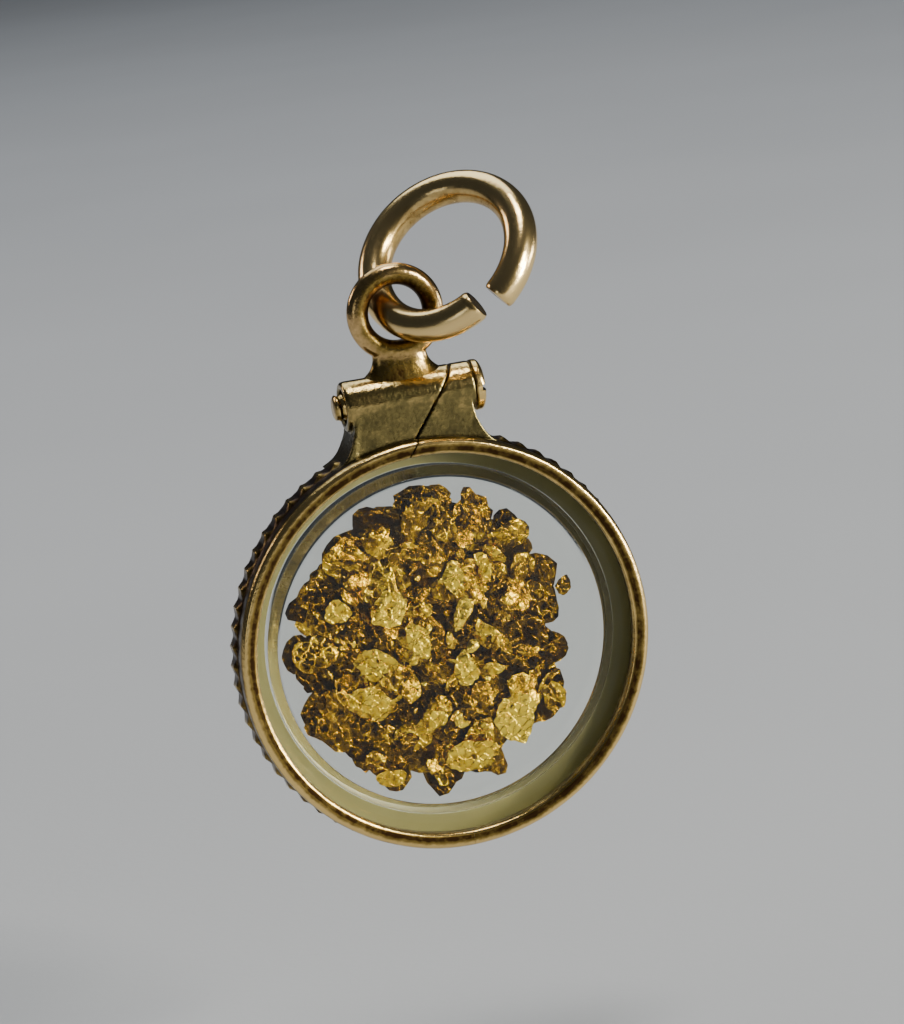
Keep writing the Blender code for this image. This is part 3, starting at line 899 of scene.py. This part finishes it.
def soften(obj: bpy.types.Object, voxel: float, passes: int) -> None:
    """Melt a piece's closed shells into one skin and smooth it, with the result in its mesh.

    Args:
        obj: piece made of overlapping closed shells.
        voxel: size of the remesh cells.
        passes: smoothing steps.
    """
    remesh = obj.modifiers.new("melt", "REMESH")
    remesh.mode = "VOXEL"
    remesh.voxel_size = voxel
    remesh.use_smooth_shade = True
    smooth = obj.modifiers.new("ease", "SMOOTH")
    smooth.factor = 0.5
    smooth.iterations = passes
    bpy.context.view_layer.update()
    graph = bpy.context.evaluated_depsgraph_get()
    result = bpy.data.meshes.new_from_object(obj.evaluated_get(graph))
    obj.modifiers.clear()
    result.name = obj.name
    obj.data = result
    result.shade_smooth()


def add_wear_and_shading(obj: bpy.types.Object, rule: Callable[[Array], Array]) -> None:
    """Store a wear-and-shading value on each point of a piece.

    Args:
        obj: the piece.
        rule: works out the wear and shading from the places of the points.
    """
    points = np.empty(len(obj.data.vertices) * 3)
    obj.data.vertices.foreach_get("co", points)
    attribute = obj.data.attributes.new("wear", "FLOAT", "POINT")
    attribute.data.foreach_set("value", rule(points.reshape(-1, 3)).astype(np.float32))


@dataclass
class BailEye:
    """Round eye on a flared neck, soldered on the left half of the barrel."""

    layout: Layout
    outer_r: float = 1.9 * MM
    wire_r: float = 0.42 * MM
    neck_x: float = -0.06 * MM
    foot_half: float = 1.56 * MM
    waist_half: float = 1.06 * MM
    voxel: float = 0.036 * MM

    def ring(self) -> Shape:
        """Torus: ring radius plus wire radius times (cos, sin), carried round the hole's axis.

        Returns:
            The closed ring.
        """
        turn = np.linspace(0.0, 2.0 * np.pi, 96, endpoint=False)[:, None]
        round_wire = np.linspace(0.0, 2.0 * np.pi, 32, endpoint=False)[None, :]
        reach = self.outer_r - self.wire_r + self.wire_r * np.cos(round_wire)
        across = np.broadcast_to(self.wire_r * 0.96 * np.sin(round_wire), (turn.size, round_wire.size))
        points = np.stack([reach * np.cos(turn), across, reach * np.sin(turn)], axis=-1)
        centre = self.layout.locket + np.array([0.0, 0.0, self.layout.eye_rise])
        return Shape.from_loops(points + centre, Ends.JOINED)

    def neck(self) -> Shape:
        """Flared neck: rounded oblongs from the barrel's top to the ring.

        The half width is waist + (foot - waist) * (1 - t)^3, a point of a loop is
        (half_x * sign(c) |c|^0.6, half_y * s), and the lowest loop follows the barrel's top.

        Returns:
            The closed neck.
        """
        share = np.linspace(0.0, 1.0, 22)[:, None]
        turn = np.linspace(0.0, 2.0 * np.pi, 40, endpoint=False)[None, :]
        flare = (1.0 - share) ** 3
        half_x = self.waist_half + (self.foot_half - self.waist_half) * flare
        half_y = 0.40 * MM + 0.26 * MM * flare
        x = self.neck_x + half_x * np.sign(np.cos(turn)) * np.abs(np.cos(turn)) ** 0.6
        y = half_y * np.sin(turn)
        seat = self.layout.barrel_rise + np.sqrt(self.layout.barrel_r ** 2 - y ** 2) - 0.05 * MM
        top = self.layout.eye_rise - self.outer_r + self.wire_r * 1.1
        z = seat + (top - seat) * share
        points = np.stack(np.broadcast_arrays(x, y, z), axis=-1)
        return Shape.from_loops(points + self.layout.locket, Ends.CAPPED)

    def wear(self, points: Array) -> Array:
        """Lighter on the eye's outside, darker in the hole and down the neck.

        Args:
            points: places, shape (n, 3).

        Returns:
            The wear-and-shading value in 0..1.
        """
        local = points - self.layout.locket - np.array([0.0, 0.0, self.layout.eye_rise])
        reach = np.hypot(local[:, 0], local[:, 2])
        out = smooth_step(reach, self.outer_r - 2 * self.wire_r, self.outer_r - 0.3 * self.wire_r)
        low = smooth_step(local[:, 2], -2.4 * MM, -1.2 * MM)
        patches = rough_noise(points, 0.5 * MM, 3) * 0.12
        return np.clip(0.08 + 0.62 * out * (0.35 + 0.65 * low) + patches, 0.0, 1.0)

    def build(self, finish: bpy.types.Material) -> list[bpy.types.Object]:
        """Melt ring and neck together, dress the eye and let it ride.

        Args:
            finish: its material.

        Returns:
            The piece.
        """
        obj = Shape.joined([self.ring(), self.neck()]).make("bail_loop")
        soften(obj, self.voxel, 4)
        add_wear_and_shading(obj, self.wear)
        dress(obj, finish)
        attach(obj, "frame")
        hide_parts("bail_eye")
        return [obj]


@dataclass
class JumpRing:
    """Open ring of round wire with its two cut ends sprung sideways."""

    layout: Layout
    wire_r: float = 0.64 * MM
    ring_r: float = 3.07 * MM
    overhang: float = 0.15 * MM
    up: float = math.radians(38.0)
    cross: float = math.radians(53.5)
    start_deg: float = 90.0
    end_deg: float = 435.5
    spring_start: float = -0.1 * MM
    spring_end: float = 0.4 * MM

    def directions(self) -> tuple[Array, Array, Array]:
        """Directions of the ring: up from the level by one angle, turned across by another.

        Returns:
            Unit vectors toward the eye, along the wire there, and along the ring's axis.
        """
        toward = np.array([-math.cos(self.up), 0.0, -math.sin(self.up)])
        level = np.array([math.sin(self.up), 0.0, -math.cos(self.up)])
        along = math.cos(self.cross) * level + math.sin(self.cross) * np.array([0.0, -1.0, 0.0])
        return toward, along, np.cross(toward, along)

    def shape(self) -> Shape:
        """Tube: circles of the wire's radius carried along the sprung ring, drawn in at its ends.

        The path is ring_r * (cos a * toward + sin a * along) plus a sideways shift that grows
        toward each end, and the last loops shrink to make the cut ends' soft edges.

        Returns:
            The closed wire with its wear-and-shading value.
        """
        toward, along, axis = self.directions()
        eye = self.layout.locket + np.array([0.0, 0.0, self.layout.eye_rise])
        centre = eye - toward * (self.ring_r - self.overhang)
        degrees = np.linspace(self.start_deg, self.end_deg, 240)
        near_end = np.clip((degrees - 360.0) / (self.end_deg - 360.0), 0.0, 1.0)
        near_start = np.clip(1.0 - (degrees - self.start_deg) / 60.0, 0.0, 1.0)
        side = self.spring_end * near_end ** 1.5 + self.spring_start * near_start ** 2
        angle = np.radians(degrees)[:, None]
        path = centre + self.ring_r * (np.cos(angle) * toward + np.sin(angle) * along) + side[:, None] * axis
        ahead = np.gradient(path, axis=0)
        ahead /= np.linalg.norm(ahead, axis=1, keepdims=True)
        out = np.cos(angle) * toward + np.sin(angle) * along
        out -= np.sum(out * ahead, axis=1, keepdims=True) * ahead
        out /= np.linalg.norm(out, axis=1, keepdims=True)
        up = np.cross(ahead, out)
        size = np.ones(len(path))
        size[[0, -1]] = 0.9
        size[[1, -2]] = 0.975
        turn = np.linspace(0.0, 2.0 * np.pi, 36, endpoint=False)[None, :, None]
        spokes = np.cos(turn) * out[:, None] + np.sin(turn) * up[:, None]
        wave = 1.0 + 0.012 * rough_noise(path[:, None] + spokes * self.wire_r, 1.2 * MM, 21)[..., None]
        loops = path[:, None] + spokes * (self.wire_r - 0.006 * MM) * size[:, None, None] * wave
        # Darker on the inside of the ring and toward the cut ends.
        worn_and_shaded = 0.9 - 0.55 * smooth_step(-np.cos(turn[..., 0]), 0.2, 1.0) * np.ones(loops.shape[:2])
        worn_and_shaded -= 0.35 * np.maximum(near_end, near_start)[:, None] ** 12
        return Shape.from_loops(loops, Ends.CAPPED, {"wear": worn_and_shaded})

    def build(self, finish: bpy.types.Material) -> list[bpy.types.Object]:
        """Make and dress the ring and let it ride.

        Args:
            finish: its material.

        Returns:
            The piece.
        """
        obj = dress(self.shape().make("open_jump_ring", 40.0), finish)
        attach(obj, "jump_ring")
        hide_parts("jump_ring")
        return [obj]


@dataclass
class ClampScrew:
    """Slotted round-head screw along the barrel, with a thread on its tip."""

    layout: Layout
    shank_r: float = 0.52 * MM
    head_r: float = 0.985 * MM
    head_h: float = 0.43 * MM
    head_side: float = 0.2 * MM
    tip: float = 0.35 * MM
    play: float = 0.03 * MM
    pitch: float = 0.25 * MM
    slot_w: float = 0.24 * MM
    slot_depth: float = 0.22 * MM
    spokes: int = 48

    def shape(self) -> Shape:
        """Turned screw whose shank follows a helical ridge, with a domed head.

        The shank's radius is lowered by the thread depth times a triangle wave of
        along / pitch - angle. The head is a dome of radius cos^0.5 and height sin^0.9 over a
        short straight side.

        Returns:
            The closed screw with its wear.
        """
        half = self.layout.barrel_half
        under = half + self.play
        crown = under + self.head_h
        end = -half - self.tip
        ease = 0.05 * MM
        wide = self.head_r
        head = [(wide - ease, under), (wide, under + ease), (wide, under + self.head_side)]
        for angle in np.linspace(0.0, math.pi / 2, 9)[1:-1]:
            rise = (self.head_h - self.head_side) * math.sin(angle) ** 0.9
            head.append((wide * math.cos(angle) ** 0.5, under + self.head_side + rise))
        shank = [(self.shank_r, x) for x in np.linspace(end + 2.0 * ease, under, 150)]
        tip = [(ease, end), (self.shank_r - 0.14 * MM, end), (self.shank_r - ease, end + ease)]
        profile = np.array(tip + shank + head + [(0.03 * MM, crown)])
        loops = turned(profile, self.spokes, "x", np.zeros(3))
        turn = np.linspace(0.0, 2.0 * np.pi, self.spokes, endpoint=False)[None, :]
        along = profile[:, 1:]
        wave = np.abs(((along / self.pitch - turn / (2 * np.pi)) % 1.0) * 2.0 - 1.0)
        threaded = smooth_step(-along, -0.4 * MM, 0.0) * smooth_step(along, end + 0.05 * MM, end + 0.12 * MM)
        scale = 1.0 - 0.13 * wave * threaded * (profile[:, :1] <= self.shank_r)
        loops[..., 1:] *= scale[..., None]
        # Lighter on the head and on the thread's crests, darker in its grooves.
        worn_and_shaded = np.clip(np.where(along > under, 0.85, 0.45 + 0.4 * (1 - wave)) * np.ones_like(wave), 0, 1)
        centre = self.layout.locket + np.array([0.0, 0.0, self.layout.barrel_rise])
        return Shape.from_loops(loops + centre, Ends.CAPPED, {"wear": worn_and_shaded})

    def slot_cutter(self) -> bpy.types.Object:
        """Box that cuts the slot, a loop of four corners carried along the slot.

        Returns:
            The cutter.
        """
        crown = self.layout.barrel_half + self.play + self.head_h
        x = np.array([crown - self.slot_depth, crown + 1.0 * MM, crown + 1.0 * MM, crown - self.slot_depth])
        z = np.array([-1.0, -1.0, 1.0, 1.0]) * self.slot_w / 2
        y = np.array([-1.6, 1.6])[:, None] * MM
        loops = np.stack(np.broadcast_arrays(x[None], y, z[None]), axis=-1)
        centre = self.layout.locket + np.array([0.0, 0.0, self.layout.barrel_rise])
        return Shape.from_loops(loops + centre, Ends.CAPPED).make("slot_cutter")

    def build(self, finish: bpy.types.Material) -> list[bpy.types.Object]:
        """Cut the slot, keep the result in the mesh, dress the screw and let it ride.

        Args:
            finish: its material.

        Returns:
            The piece.
        """
        obj = self.shape().make("slotted_screw", 40.0)
        cutter = self.slot_cutter()
        cut = obj.modifiers.new("slot", "BOOLEAN")
        cut.operation = "DIFFERENCE"
        cut.solver = "EXACT"
        cut.object = cutter
        bpy.context.view_layer.update()
        graph = bpy.context.evaluated_depsgraph_get()
        result = bpy.data.meshes.new_from_object(obj.evaluated_get(graph))
        obj.modifiers.clear()
        obj.data = result
        bpy.data.objects.remove(cutter)
        result.shade_smooth()
        result.set_sharp_from_angle(angle=math.radians(40.0))
        dress(obj, finish)
        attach(obj, "clamp_screw")
        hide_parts("clamp_screw")
        return [obj]


@dataclass
class GlassCapsule:
    """Two dished crystals, face to face, with a bevelled rim and a flared cavity wall."""

    layout: Layout
    outer_r: float = 7.78 * MM
    half_w: float = 1.0 * MM
    bevel_w: float = 0.68 * MM
    bevel_drop: float = 0.27 * MM
    window: float = 0.5 * MM
    cavity_r: float = 6.48 * MM
    flare: float = 0.4 * MM
    seam: float = 0.01 * MM
    spokes: int = 192

    def crystal(self, side: int) -> Shape:
        """Turned dish with each corner of its section eased by an arc, its seam and rim ground matte and
        marked for the painted olive reflection.

        Args:
            side: -1 for the front crystal, 1 for the rear one.

        Returns:
            The closed dish.
        """
        floor = self.half_w - self.window
        corners = np.array([
            (0.0, self.half_w), (self.outer_r - self.bevel_w, self.half_w),
            (self.outer_r, self.half_w - self.bevel_drop), (self.outer_r, self.seam),
            (self.cavity_r + self.flare, self.seam), (self.cavity_r, floor), (0.0, floor),
        ])
        ease = np.array([0.0, 0.12, 0.06, 0.03, 0.05, 0.10, 0.0]) * MM
        rows = [corners[:1]]
        share = np.linspace(0.0, 1.0, 7)[:, None]
        for before, here, after, size in zip(corners, corners[1:], corners[2:], ease[1:]):
            back = here + (before - here) / np.linalg.norm(before - here) * size
            on = here + (after - here) / np.linalg.norm(after - here) * size
            rows.append((1 - share) ** 2 * back + 2 * share * (1 - share) * here + share ** 2 * on)
        rows.append(corners[-1:])
        profile = np.concatenate(rows)
        profile[0, 0] = profile[-1, 0] = 0.02 * MM
        profile[:, 1] *= side
        along, reach = np.abs(profile[:, 1:]), profile[:, :1]
        seam = (along < 0.03 * MM) & (reach > 6.9 * MM)
        ground = (seam | (reach > self.outer_r - 0.005 * MM)) * np.ones((1, self.spokes))
        loops = turned(profile, self.spokes, "y", self.layout.locket)
        return Shape.from_loops(loops, Ends.CAPPED, {"ground": ground})

    def build(self, finish: bpy.types.Material) -> list[bpy.types.Object]:
        """Make both crystals, dress them and let them ride.

        Args:
            finish: their material.

        Returns:
            The pieces.
        """
        made = []
        for side, label in ((-1, "front"), (1, "rear")):
            obj = dress(self.crystal(side).make(f"{label}_crystal", 30.0), finish)
            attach(obj, "capsule")
            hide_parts(f"{label}_glass")
            made.append(obj)
        return made


class Tone(Enum):
    """How light a flake is painted, from dull and brown to bright: the gold's own tone together with painted
    highlight and shade.
    """

    DEEP = 0.22
    AMBER = 0.42
    ORANGE = 0.6
    YELLOW = 0.75
    BRIGHT = 0.95


@dataclass
class Flake:
    """One crumpled plate of gold: its place, size, turn, tilt and tone, which holds painted highlight or
    shade as well as its own colour.
    """

    centre: Array
    length: float
    width: float
    turn: float
    tilt: tuple[float, float]
    tone: float
    seed: int
    rings: int = 15
    spokes: int = 60
    crumple: float = 0.08 * MM

    def shape(self, locket: Array, depth: float, wall_r: float) -> Shape:
        """Closed plate: rings from the middle of its face over the rim to the middle of its back.

        A point is rho * rim(a) * (length cos a, width sin a) / 2 with a ragged rim, raised by
        a bend and by creased noise. The plate is turned and tilted, then held inside the glass.

        Args:
            locket: centre of the locket.
            depth: half of the cavity's depth.
            wall_r: radius that the plate stays inside.

        Returns:
            The surface with its tone-and-shading and crease-and-shade values.
        """
        rng = np.random.default_rng(self.seed)
        out = np.sin(np.linspace(0.04, 1.0, self.rings) * np.pi / 2)
        rho = np.concatenate([out, out[::-1]])[:, None]
        face = np.concatenate([np.ones(self.rings), -np.ones(self.rings)])[:, None]
        angle = np.linspace(0.0, 2.0 * np.pi, self.spokes, endpoint=False)[None, :]
        rim = np.ones_like(angle)
        for count, size in ((2, 0.07), (3, 0.09), (4, 0.06), (7, 0.045), (11, 0.03), (17, 0.02)):
            rim = rim + size * rng.uniform(0.4, 1.0) * np.sin(count * angle + rng.uniform(0.0, 2.0 * np.pi))
        rim = rim / 1.08
        x = rho * rim * np.cos(angle) * self.length / 2
        z = rho * rim * np.sin(angle) * self.width / 2
        flat = np.stack([x, np.zeros_like(x), z], axis=-1) + rng.uniform(0.0, 1.0, 3)
        crease = creased_noise(flat, 0.45 * MM, self.seed % 97)
        lean = rng.uniform(0.0, 2.0 * np.pi)
        bend = rng.uniform(-0.14, 0.14) / MM * (x * math.cos(lean) + z * math.sin(lean)) ** 2
        thick = 0.03 * MM * (1.0 - 0.7 * rho ** 4)
        share = 0.5 + 0.5 * min(self.length / (1.5 * MM), 1.0)
        y = bend - (crease - 0.5) * self.crumple * share - face * thick
        points = np.stack([x, y, z], axis=-1)
        spin = Matrix.Rotation(-self.turn, 3, "Y") @ Matrix.Rotation(self.tilt[0], 3, "X")
        spin = spin @ Matrix.Rotation(self.tilt[1], 3, "Z")
        points = points @ np.array(spin).T + self.centre
        local = points - locket
        room = depth - 0.03 * MM
        local[..., 1] = room * np.tanh(local[..., 1] / room)
        reach = np.hypot(local[..., 0], local[..., 2])
        keep = np.minimum(1.0, wall_r / np.maximum(reach, 1e-6))
        local[..., 0] *= keep
        local[..., 2] *= keep
        # The crease height goes with the flake to the finish, which paints it as highlight and shade.
        values = {"tone": np.full(x.shape, self.tone), "crease": crease * np.ones_like(x)}
        return Shape.from_loops(local + locket, Ends.CAPPED, values)


@dataclass
class GoldHeap:
    """The flakes in the glass: one piece for each flake of the model, and loose smaller gold."""

    layout: Layout
    depth: float = 0.5 * MM
    wall_r: float = 6.45 * MM
    seed: int = 4
    # Listed flakes are painted bright where they catch the light; this is partly their own tone and partly a
    # painted highlight.
    tones_and_shading: tuple[tuple[int, Tone], ...] = (
        (1, Tone.BRIGHT), (2, Tone.BRIGHT), (3, Tone.BRIGHT), (4, Tone.BRIGHT), (5, Tone.BRIGHT),
        (6, Tone.YELLOW), (7, Tone.BRIGHT), (8, Tone.YELLOW), (9, Tone.YELLOW), (10, Tone.ORANGE),
        (11, Tone.YELLOW), (12, Tone.YELLOW), (13, Tone.ORANGE), (14, Tone.BRIGHT), (15, Tone.BRIGHT),
        (16, Tone.AMBER), (17, Tone.AMBER), (18, Tone.DEEP), (19, Tone.AMBER),
    )

    def edge(self, angle: float) -> float:
        """Radius of the heap's outline, read between a few chosen places.

        Args:
            angle: from straight right, counterclockwise.

        Returns:
            The radius, in metres.
        """
        outline = (
            (0, 5.1), (10, 5.2), (30, 5.35), (44, 5.5), (58, 5.85), (80, 6.2), (99, 6.4), (110, 6.0),
            (124, 5.95), (139, 5.95), (144, 6.3), (160, 6.38), (178, 6.2), (194, 6.0), (215, 6.2),
            (236, 6.3), (259, 6.15), (274, 5.95), (289, 5.75), (312, 5.55), (330, 5.4),
            (349, 5.0), (360, 5.1),
        )
        degrees, radius = zip(*outline)
        return float(np.interp(math.degrees(angle) % 360.0, degrees, radius)) * MM

    def from_node(self, number: int, rng: np.random.Generator) -> Flake:
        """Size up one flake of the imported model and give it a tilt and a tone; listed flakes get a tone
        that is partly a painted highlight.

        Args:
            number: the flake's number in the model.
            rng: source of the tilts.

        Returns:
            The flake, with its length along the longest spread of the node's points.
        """
        mesh = frame["nodes"][f"gold_flake_{number:02d}"].data
        points = np.empty(len(mesh.vertices) * 3)
        mesh.vertices.foreach_get("co", points)
        points = points.reshape(-1, 3)
        low, high = points.min(0), points.max(0)
        centre = (low + high) / 2
        flat = (points - centre)[:, [0, 2]]
        spread, axes = np.linalg.eigh(flat.T @ flat)
        long_axis = axes[:, 1]
        span = flat @ axes
        size = span.max(0) - span.min(0)
        chosen = dict(self.tones_and_shading)
        tone = chosen.get(number, Tone.AMBER).value
        if number not in chosen:
            tone = rng.uniform(0.1, Tone.ORANGE.value)
        tilt = (rng.uniform(-0.32, 0.2), rng.uniform(-0.2, 0.32))
        if number in chosen:
            tilt = (rng.uniform(-0.28, -0.1), rng.uniform(0.05, 0.25))
        turn = math.atan2(long_axis[1], long_axis[0])
        return Flake(centre, size[1] * 1.08, size[0] * 1.08, turn, tilt, tone, 100 + number)

    def scatter(self, count: int, sizes: Pair, layer: Pair, swing: float, tones_and_shading: Pair, core: float,
                rng: np.random.Generator, rings: int, spokes: int) -> list[Flake]:
        """Loose flakes spread over the heap.

        Args:
            count: how many.
            sizes: least and greatest length.
            layer: front and back limits of their depth, from the locket's middle.
            swing: greatest tilt, in radians.
            tones_and_shading: least and greatest tone, which also paints shade by depth.
            core: share of the heap's radius that they fill.
            rng: source of the choices.
            rings: rings from a flake's middle to its rim.
            spokes: points round a flake.

        Returns:
            The flakes.
        """
        made = []
        for index in range(count):
            angle = (index * GOLDEN_ANGLE + rng.uniform(-0.3, 0.3)) % (2.0 * np.pi)
            length = rng.uniform(*sizes)
            share = (index + rng.uniform(0.2, 1.2)) / count
            reach = max(0.0, self.edge(angle) * core - length * 0.38) * math.sqrt(min(share, 1.0))
            place = np.array([reach * math.cos(angle), rng.uniform(*layer), reach * math.sin(angle)])
            tilt = (rng.uniform(-swing, swing), rng.uniform(-swing, swing))
            width = length * rng.uniform(0.55, 0.9)
            turn = rng.uniform(0.0, np.pi)
            tone = rng.uniform(*tones_and_shading)
            seed = int(rng.integers(1, 90000))
            centre = self.layout.locket + place
            made.append(Flake(centre, length, width, turn, tilt, tone, seed, rings, spokes))
        return made

    def build(self, finish: bpy.types.Material) -> list[bpy.types.Object]:
        """Make every flake and the loose gold, dress them and let them ride.

        Args:
            finish: their material.

        Returns:
            The pieces.
        """
        rng = np.random.default_rng(self.seed)
        made = []
        numbers = sorted(int(n[-2:]) for n in frame["nodes"] if n.startswith("gold_flake_"))
        for number in numbers:
            shape = self.from_node(number, rng).shape(self.layout.locket, self.depth, self.wall_r)
            obj = shape.make(f"leaf_{number:02d}", 80.0)
            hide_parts(f"gold_flake_{number:02d}")
            made.append(obj)
        back = (0.1 * MM, 0.4 * MM)
        middle = (-0.3 * MM, 0.15 * MM)
        front = (-0.45 * MM, -0.2 * MM)
        large, medium, small = (1.6 * MM, 2.5 * MM), (1.2 * MM, 2.2 * MM), (0.25 * MM, 0.7 * MM)
        # Painted shade by depth: the back leaves are darkest, the middle ones between, the front grains
        # lightest.
        groups = {
            "loose_leaf_back": self.scatter(150, large, back, 0.2, (0.0, 0.34), 1.03, rng, 3, 14),
            "loose_leaf_middle": self.scatter(85, medium, middle, 0.5, (0.05, 0.6), 1.0, rng, 3, 15),
            "gold_grains": self.scatter(45, small, front, 0.9, (0.3, 0.95), 0.7, rng, 2, 10),
        }
        for name, flakes in groups.items():
            shapes = [f.shape(self.layout.locket, self.depth, self.wall_r) for f in flakes]
            made.append(Shape.joined(shapes).make(name, 80.0))
        for obj in made:
            dress(obj, finish)
            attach(obj, "gold_flakes")
        return made


@dataclass
class Studio:
    """Pale floor, soft lamps and the camera."""

    layout: Layout
    distance: float = 150.0 * MM
    frame_height: float = 39.7 * MM
    aim: tuple[float, float] = (0.485 * MM, 4.885 * MM)
    floor_drop: float = 9.0 * MM
    floor_half: float = 6.0
    floor_cells: int = 8

    def axes(self) -> tuple[Vector, Vector, Vector]:
        """Directions of the camera, made square to each other.

        Returns:
            Unit vectors to the right, up and back.
        """
        right = Vector((0.9612, -0.2427, -0.1311)).normalized()
        up = Vector((0.1737, 0.1624, 0.9713))
        back = right.cross(up).normalized()
        return right, back.cross(right).normalized(), back

    def camera(self) -> None:
        """Camera in front, to the left and above, turned a little about its own axis."""
        right, up, back = self.axes()
        data = bpy.data.cameras.new("camera")
        data.lens = 36.0 * self.distance / self.frame_height
        data.clip_start = 1.0 * MM
        data.clip_end = 50.0
        cam = bpy.data.objects.new("camera", data)
        bpy.context.scene.collection.objects.link(cam)
        target = Vector(self.layout.locket) + right * self.aim[0] + up * self.aim[1]
        turn = Matrix((right, up, back)).transposed().to_4x4()
        cam.matrix_world = Matrix.Translation(target + back * self.distance) @ turn
        bpy.context.scene.camera = cam

    def floor(self) -> None:
        """Large pale board under the locket: a level grid of squares."""
        low = CAD_BOX[0][2] - self.floor_drop
        count = self.floor_cells + 1
        edge = np.linspace(-self.floor_half, self.floor_half, count)
        x, y = np.meshgrid(edge, edge, indexing="ij")
        points = np.stack([x, y, np.full_like(x, low)], axis=-1).reshape(-1, 3)
        row, col = np.meshgrid(np.arange(self.floor_cells), np.arange(self.floor_cells), indexing="ij")
        first = (row * count + col).ravel()
        quads = np.stack([first, first + count, first + count + 1, first + 1], axis=1)
        mesh = bpy.data.meshes.new("floor")
        mesh.from_pydata(points.tolist(), [], quads.tolist())
        obj = bpy.data.objects.new("floor", mesh)
        bpy.context.scene.collection.objects.link(obj)
        mesh.materials.append(PaleBoard("pale_board").make())

    def lamp(self, name: str, place: Place, size: float, power: float, colour: Colour,
             target: Place = (0.0, 0.0, 0.0)) -> None:
        """Square soft lamp that faces the locket or another target.

        Args:
            name: name of the lamp.
            place: from the locket's centre, in metres.
            size: side of the square.
            power: watts.
            colour: linear colour.
            target: where it points, from the locket's centre.
        """
        data = bpy.data.lights.new(name, "AREA")
        data.size = size
        data.energy = power
        data.color = colour
        obj = bpy.data.objects.new(name, data)
        bpy.context.scene.collection.objects.link(obj)
        obj.location = Vector(self.layout.locket) + Vector(place)
        obj.rotation_mode = "QUATERNION"
        obj.rotation_quaternion = (Vector(target) - Vector(place)).to_track_quat("-Z", "Y")

    def build(self) -> None:
        """Set the stage: floor, lamps, sky and camera."""
        self.floor()
        self.lamp("key", (0.44, -0.36, 0.05), 0.12, 4.6, (1.0, 0.98, 0.88))
        self.lamp("high_key", (0.32, -0.36, 0.20), 0.09, 2.4, (1.0, 0.98, 0.86))
        self.lamp("top", (0.05, -0.05, 0.45), 0.13, 0.8, (1.0, 0.97, 0.92))
        self.lamp("front_left", (-0.35, -0.30, 0.05), 0.12, 0.06, (0.92, 0.96, 1.0))
        self.lamp("right", (0.40, -0.03, -0.02), 0.12, 0.7, (1.0, 0.97, 0.94))
        self.lamp("rim", (-0.28, 0.25, 0.16), 0.10, 0.16, (1.0, 0.86, 0.80))
        self.lamp("floor_wash", (0.0, 0.35, 0.55), 0.5, 1.9, (0.90, 0.95, 1.0), (0.0, 0.22, -0.02))
        world = bpy.data.worlds.new("soft_sky")
        world.use_nodes = True
        world.node_tree.nodes["Background"].inputs["Color"].default_value = (0.10, 0.115, 0.14, 1.0)
        world.node_tree.nodes["Background"].inputs["Strength"].default_value = 0.32
        bpy.context.scene.world = world
        self.camera()


def main() -> None:
    """Build every sub-assembly in order and report its pieces."""
    logging.basicConfig(level=logging.INFO, format="%(name)s: %(message)s")
    layout = Layout()
    bezel_gold = WornAndShadedGold("worn_bezel_gold").make()
    barrel_gold = WornAndShadedGold("soldered_barrel_gold", middle=(0.19, 0.15, 0.055), dark=(0.06, 0.05, 0.022),
                           polish=0.14, grain=4.0e-6, tarnish=0.05).make()
    eye_gold = WornAndShadedGold("worn_eye_gold", bright=(0.82, 0.54, 0.24), polish=0.18).make()
    ring_gold = WornAndShadedGold("polished_ring_gold", bright=(0.92, 0.66, 0.28), middle=(0.46, 0.30, 0.10),
                         polish=0.2, grain=1.5e-6, tarnish=-0.1).make()
    screw_gold = WornAndShadedGold("turned_screw_gold", polish=0.2, tarnish=-0.05).make()
    sets = [
        CoinEdgeBezel(layout).build(bezel_gold),
        ClampBarrel(layout).build(barrel_gold),
        BailEye(layout).build(eye_gold),
        JumpRing(layout).build(ring_gold),
        ClampScrew(layout).build(screw_gold),
        GlassCapsule(layout).build(ClearGlass("pressed_crystal").make()),
        GoldHeap(layout).build(CrumpledGold("crumpled_leaf_gold").make()),
    ]
    for pieces in sets:
        for obj in pieces:
            LOG.info("%s: %d faces", obj.name, len(obj.data.polygons))
    Studio(layout).build()


if __name__ == "__main__":
    main()
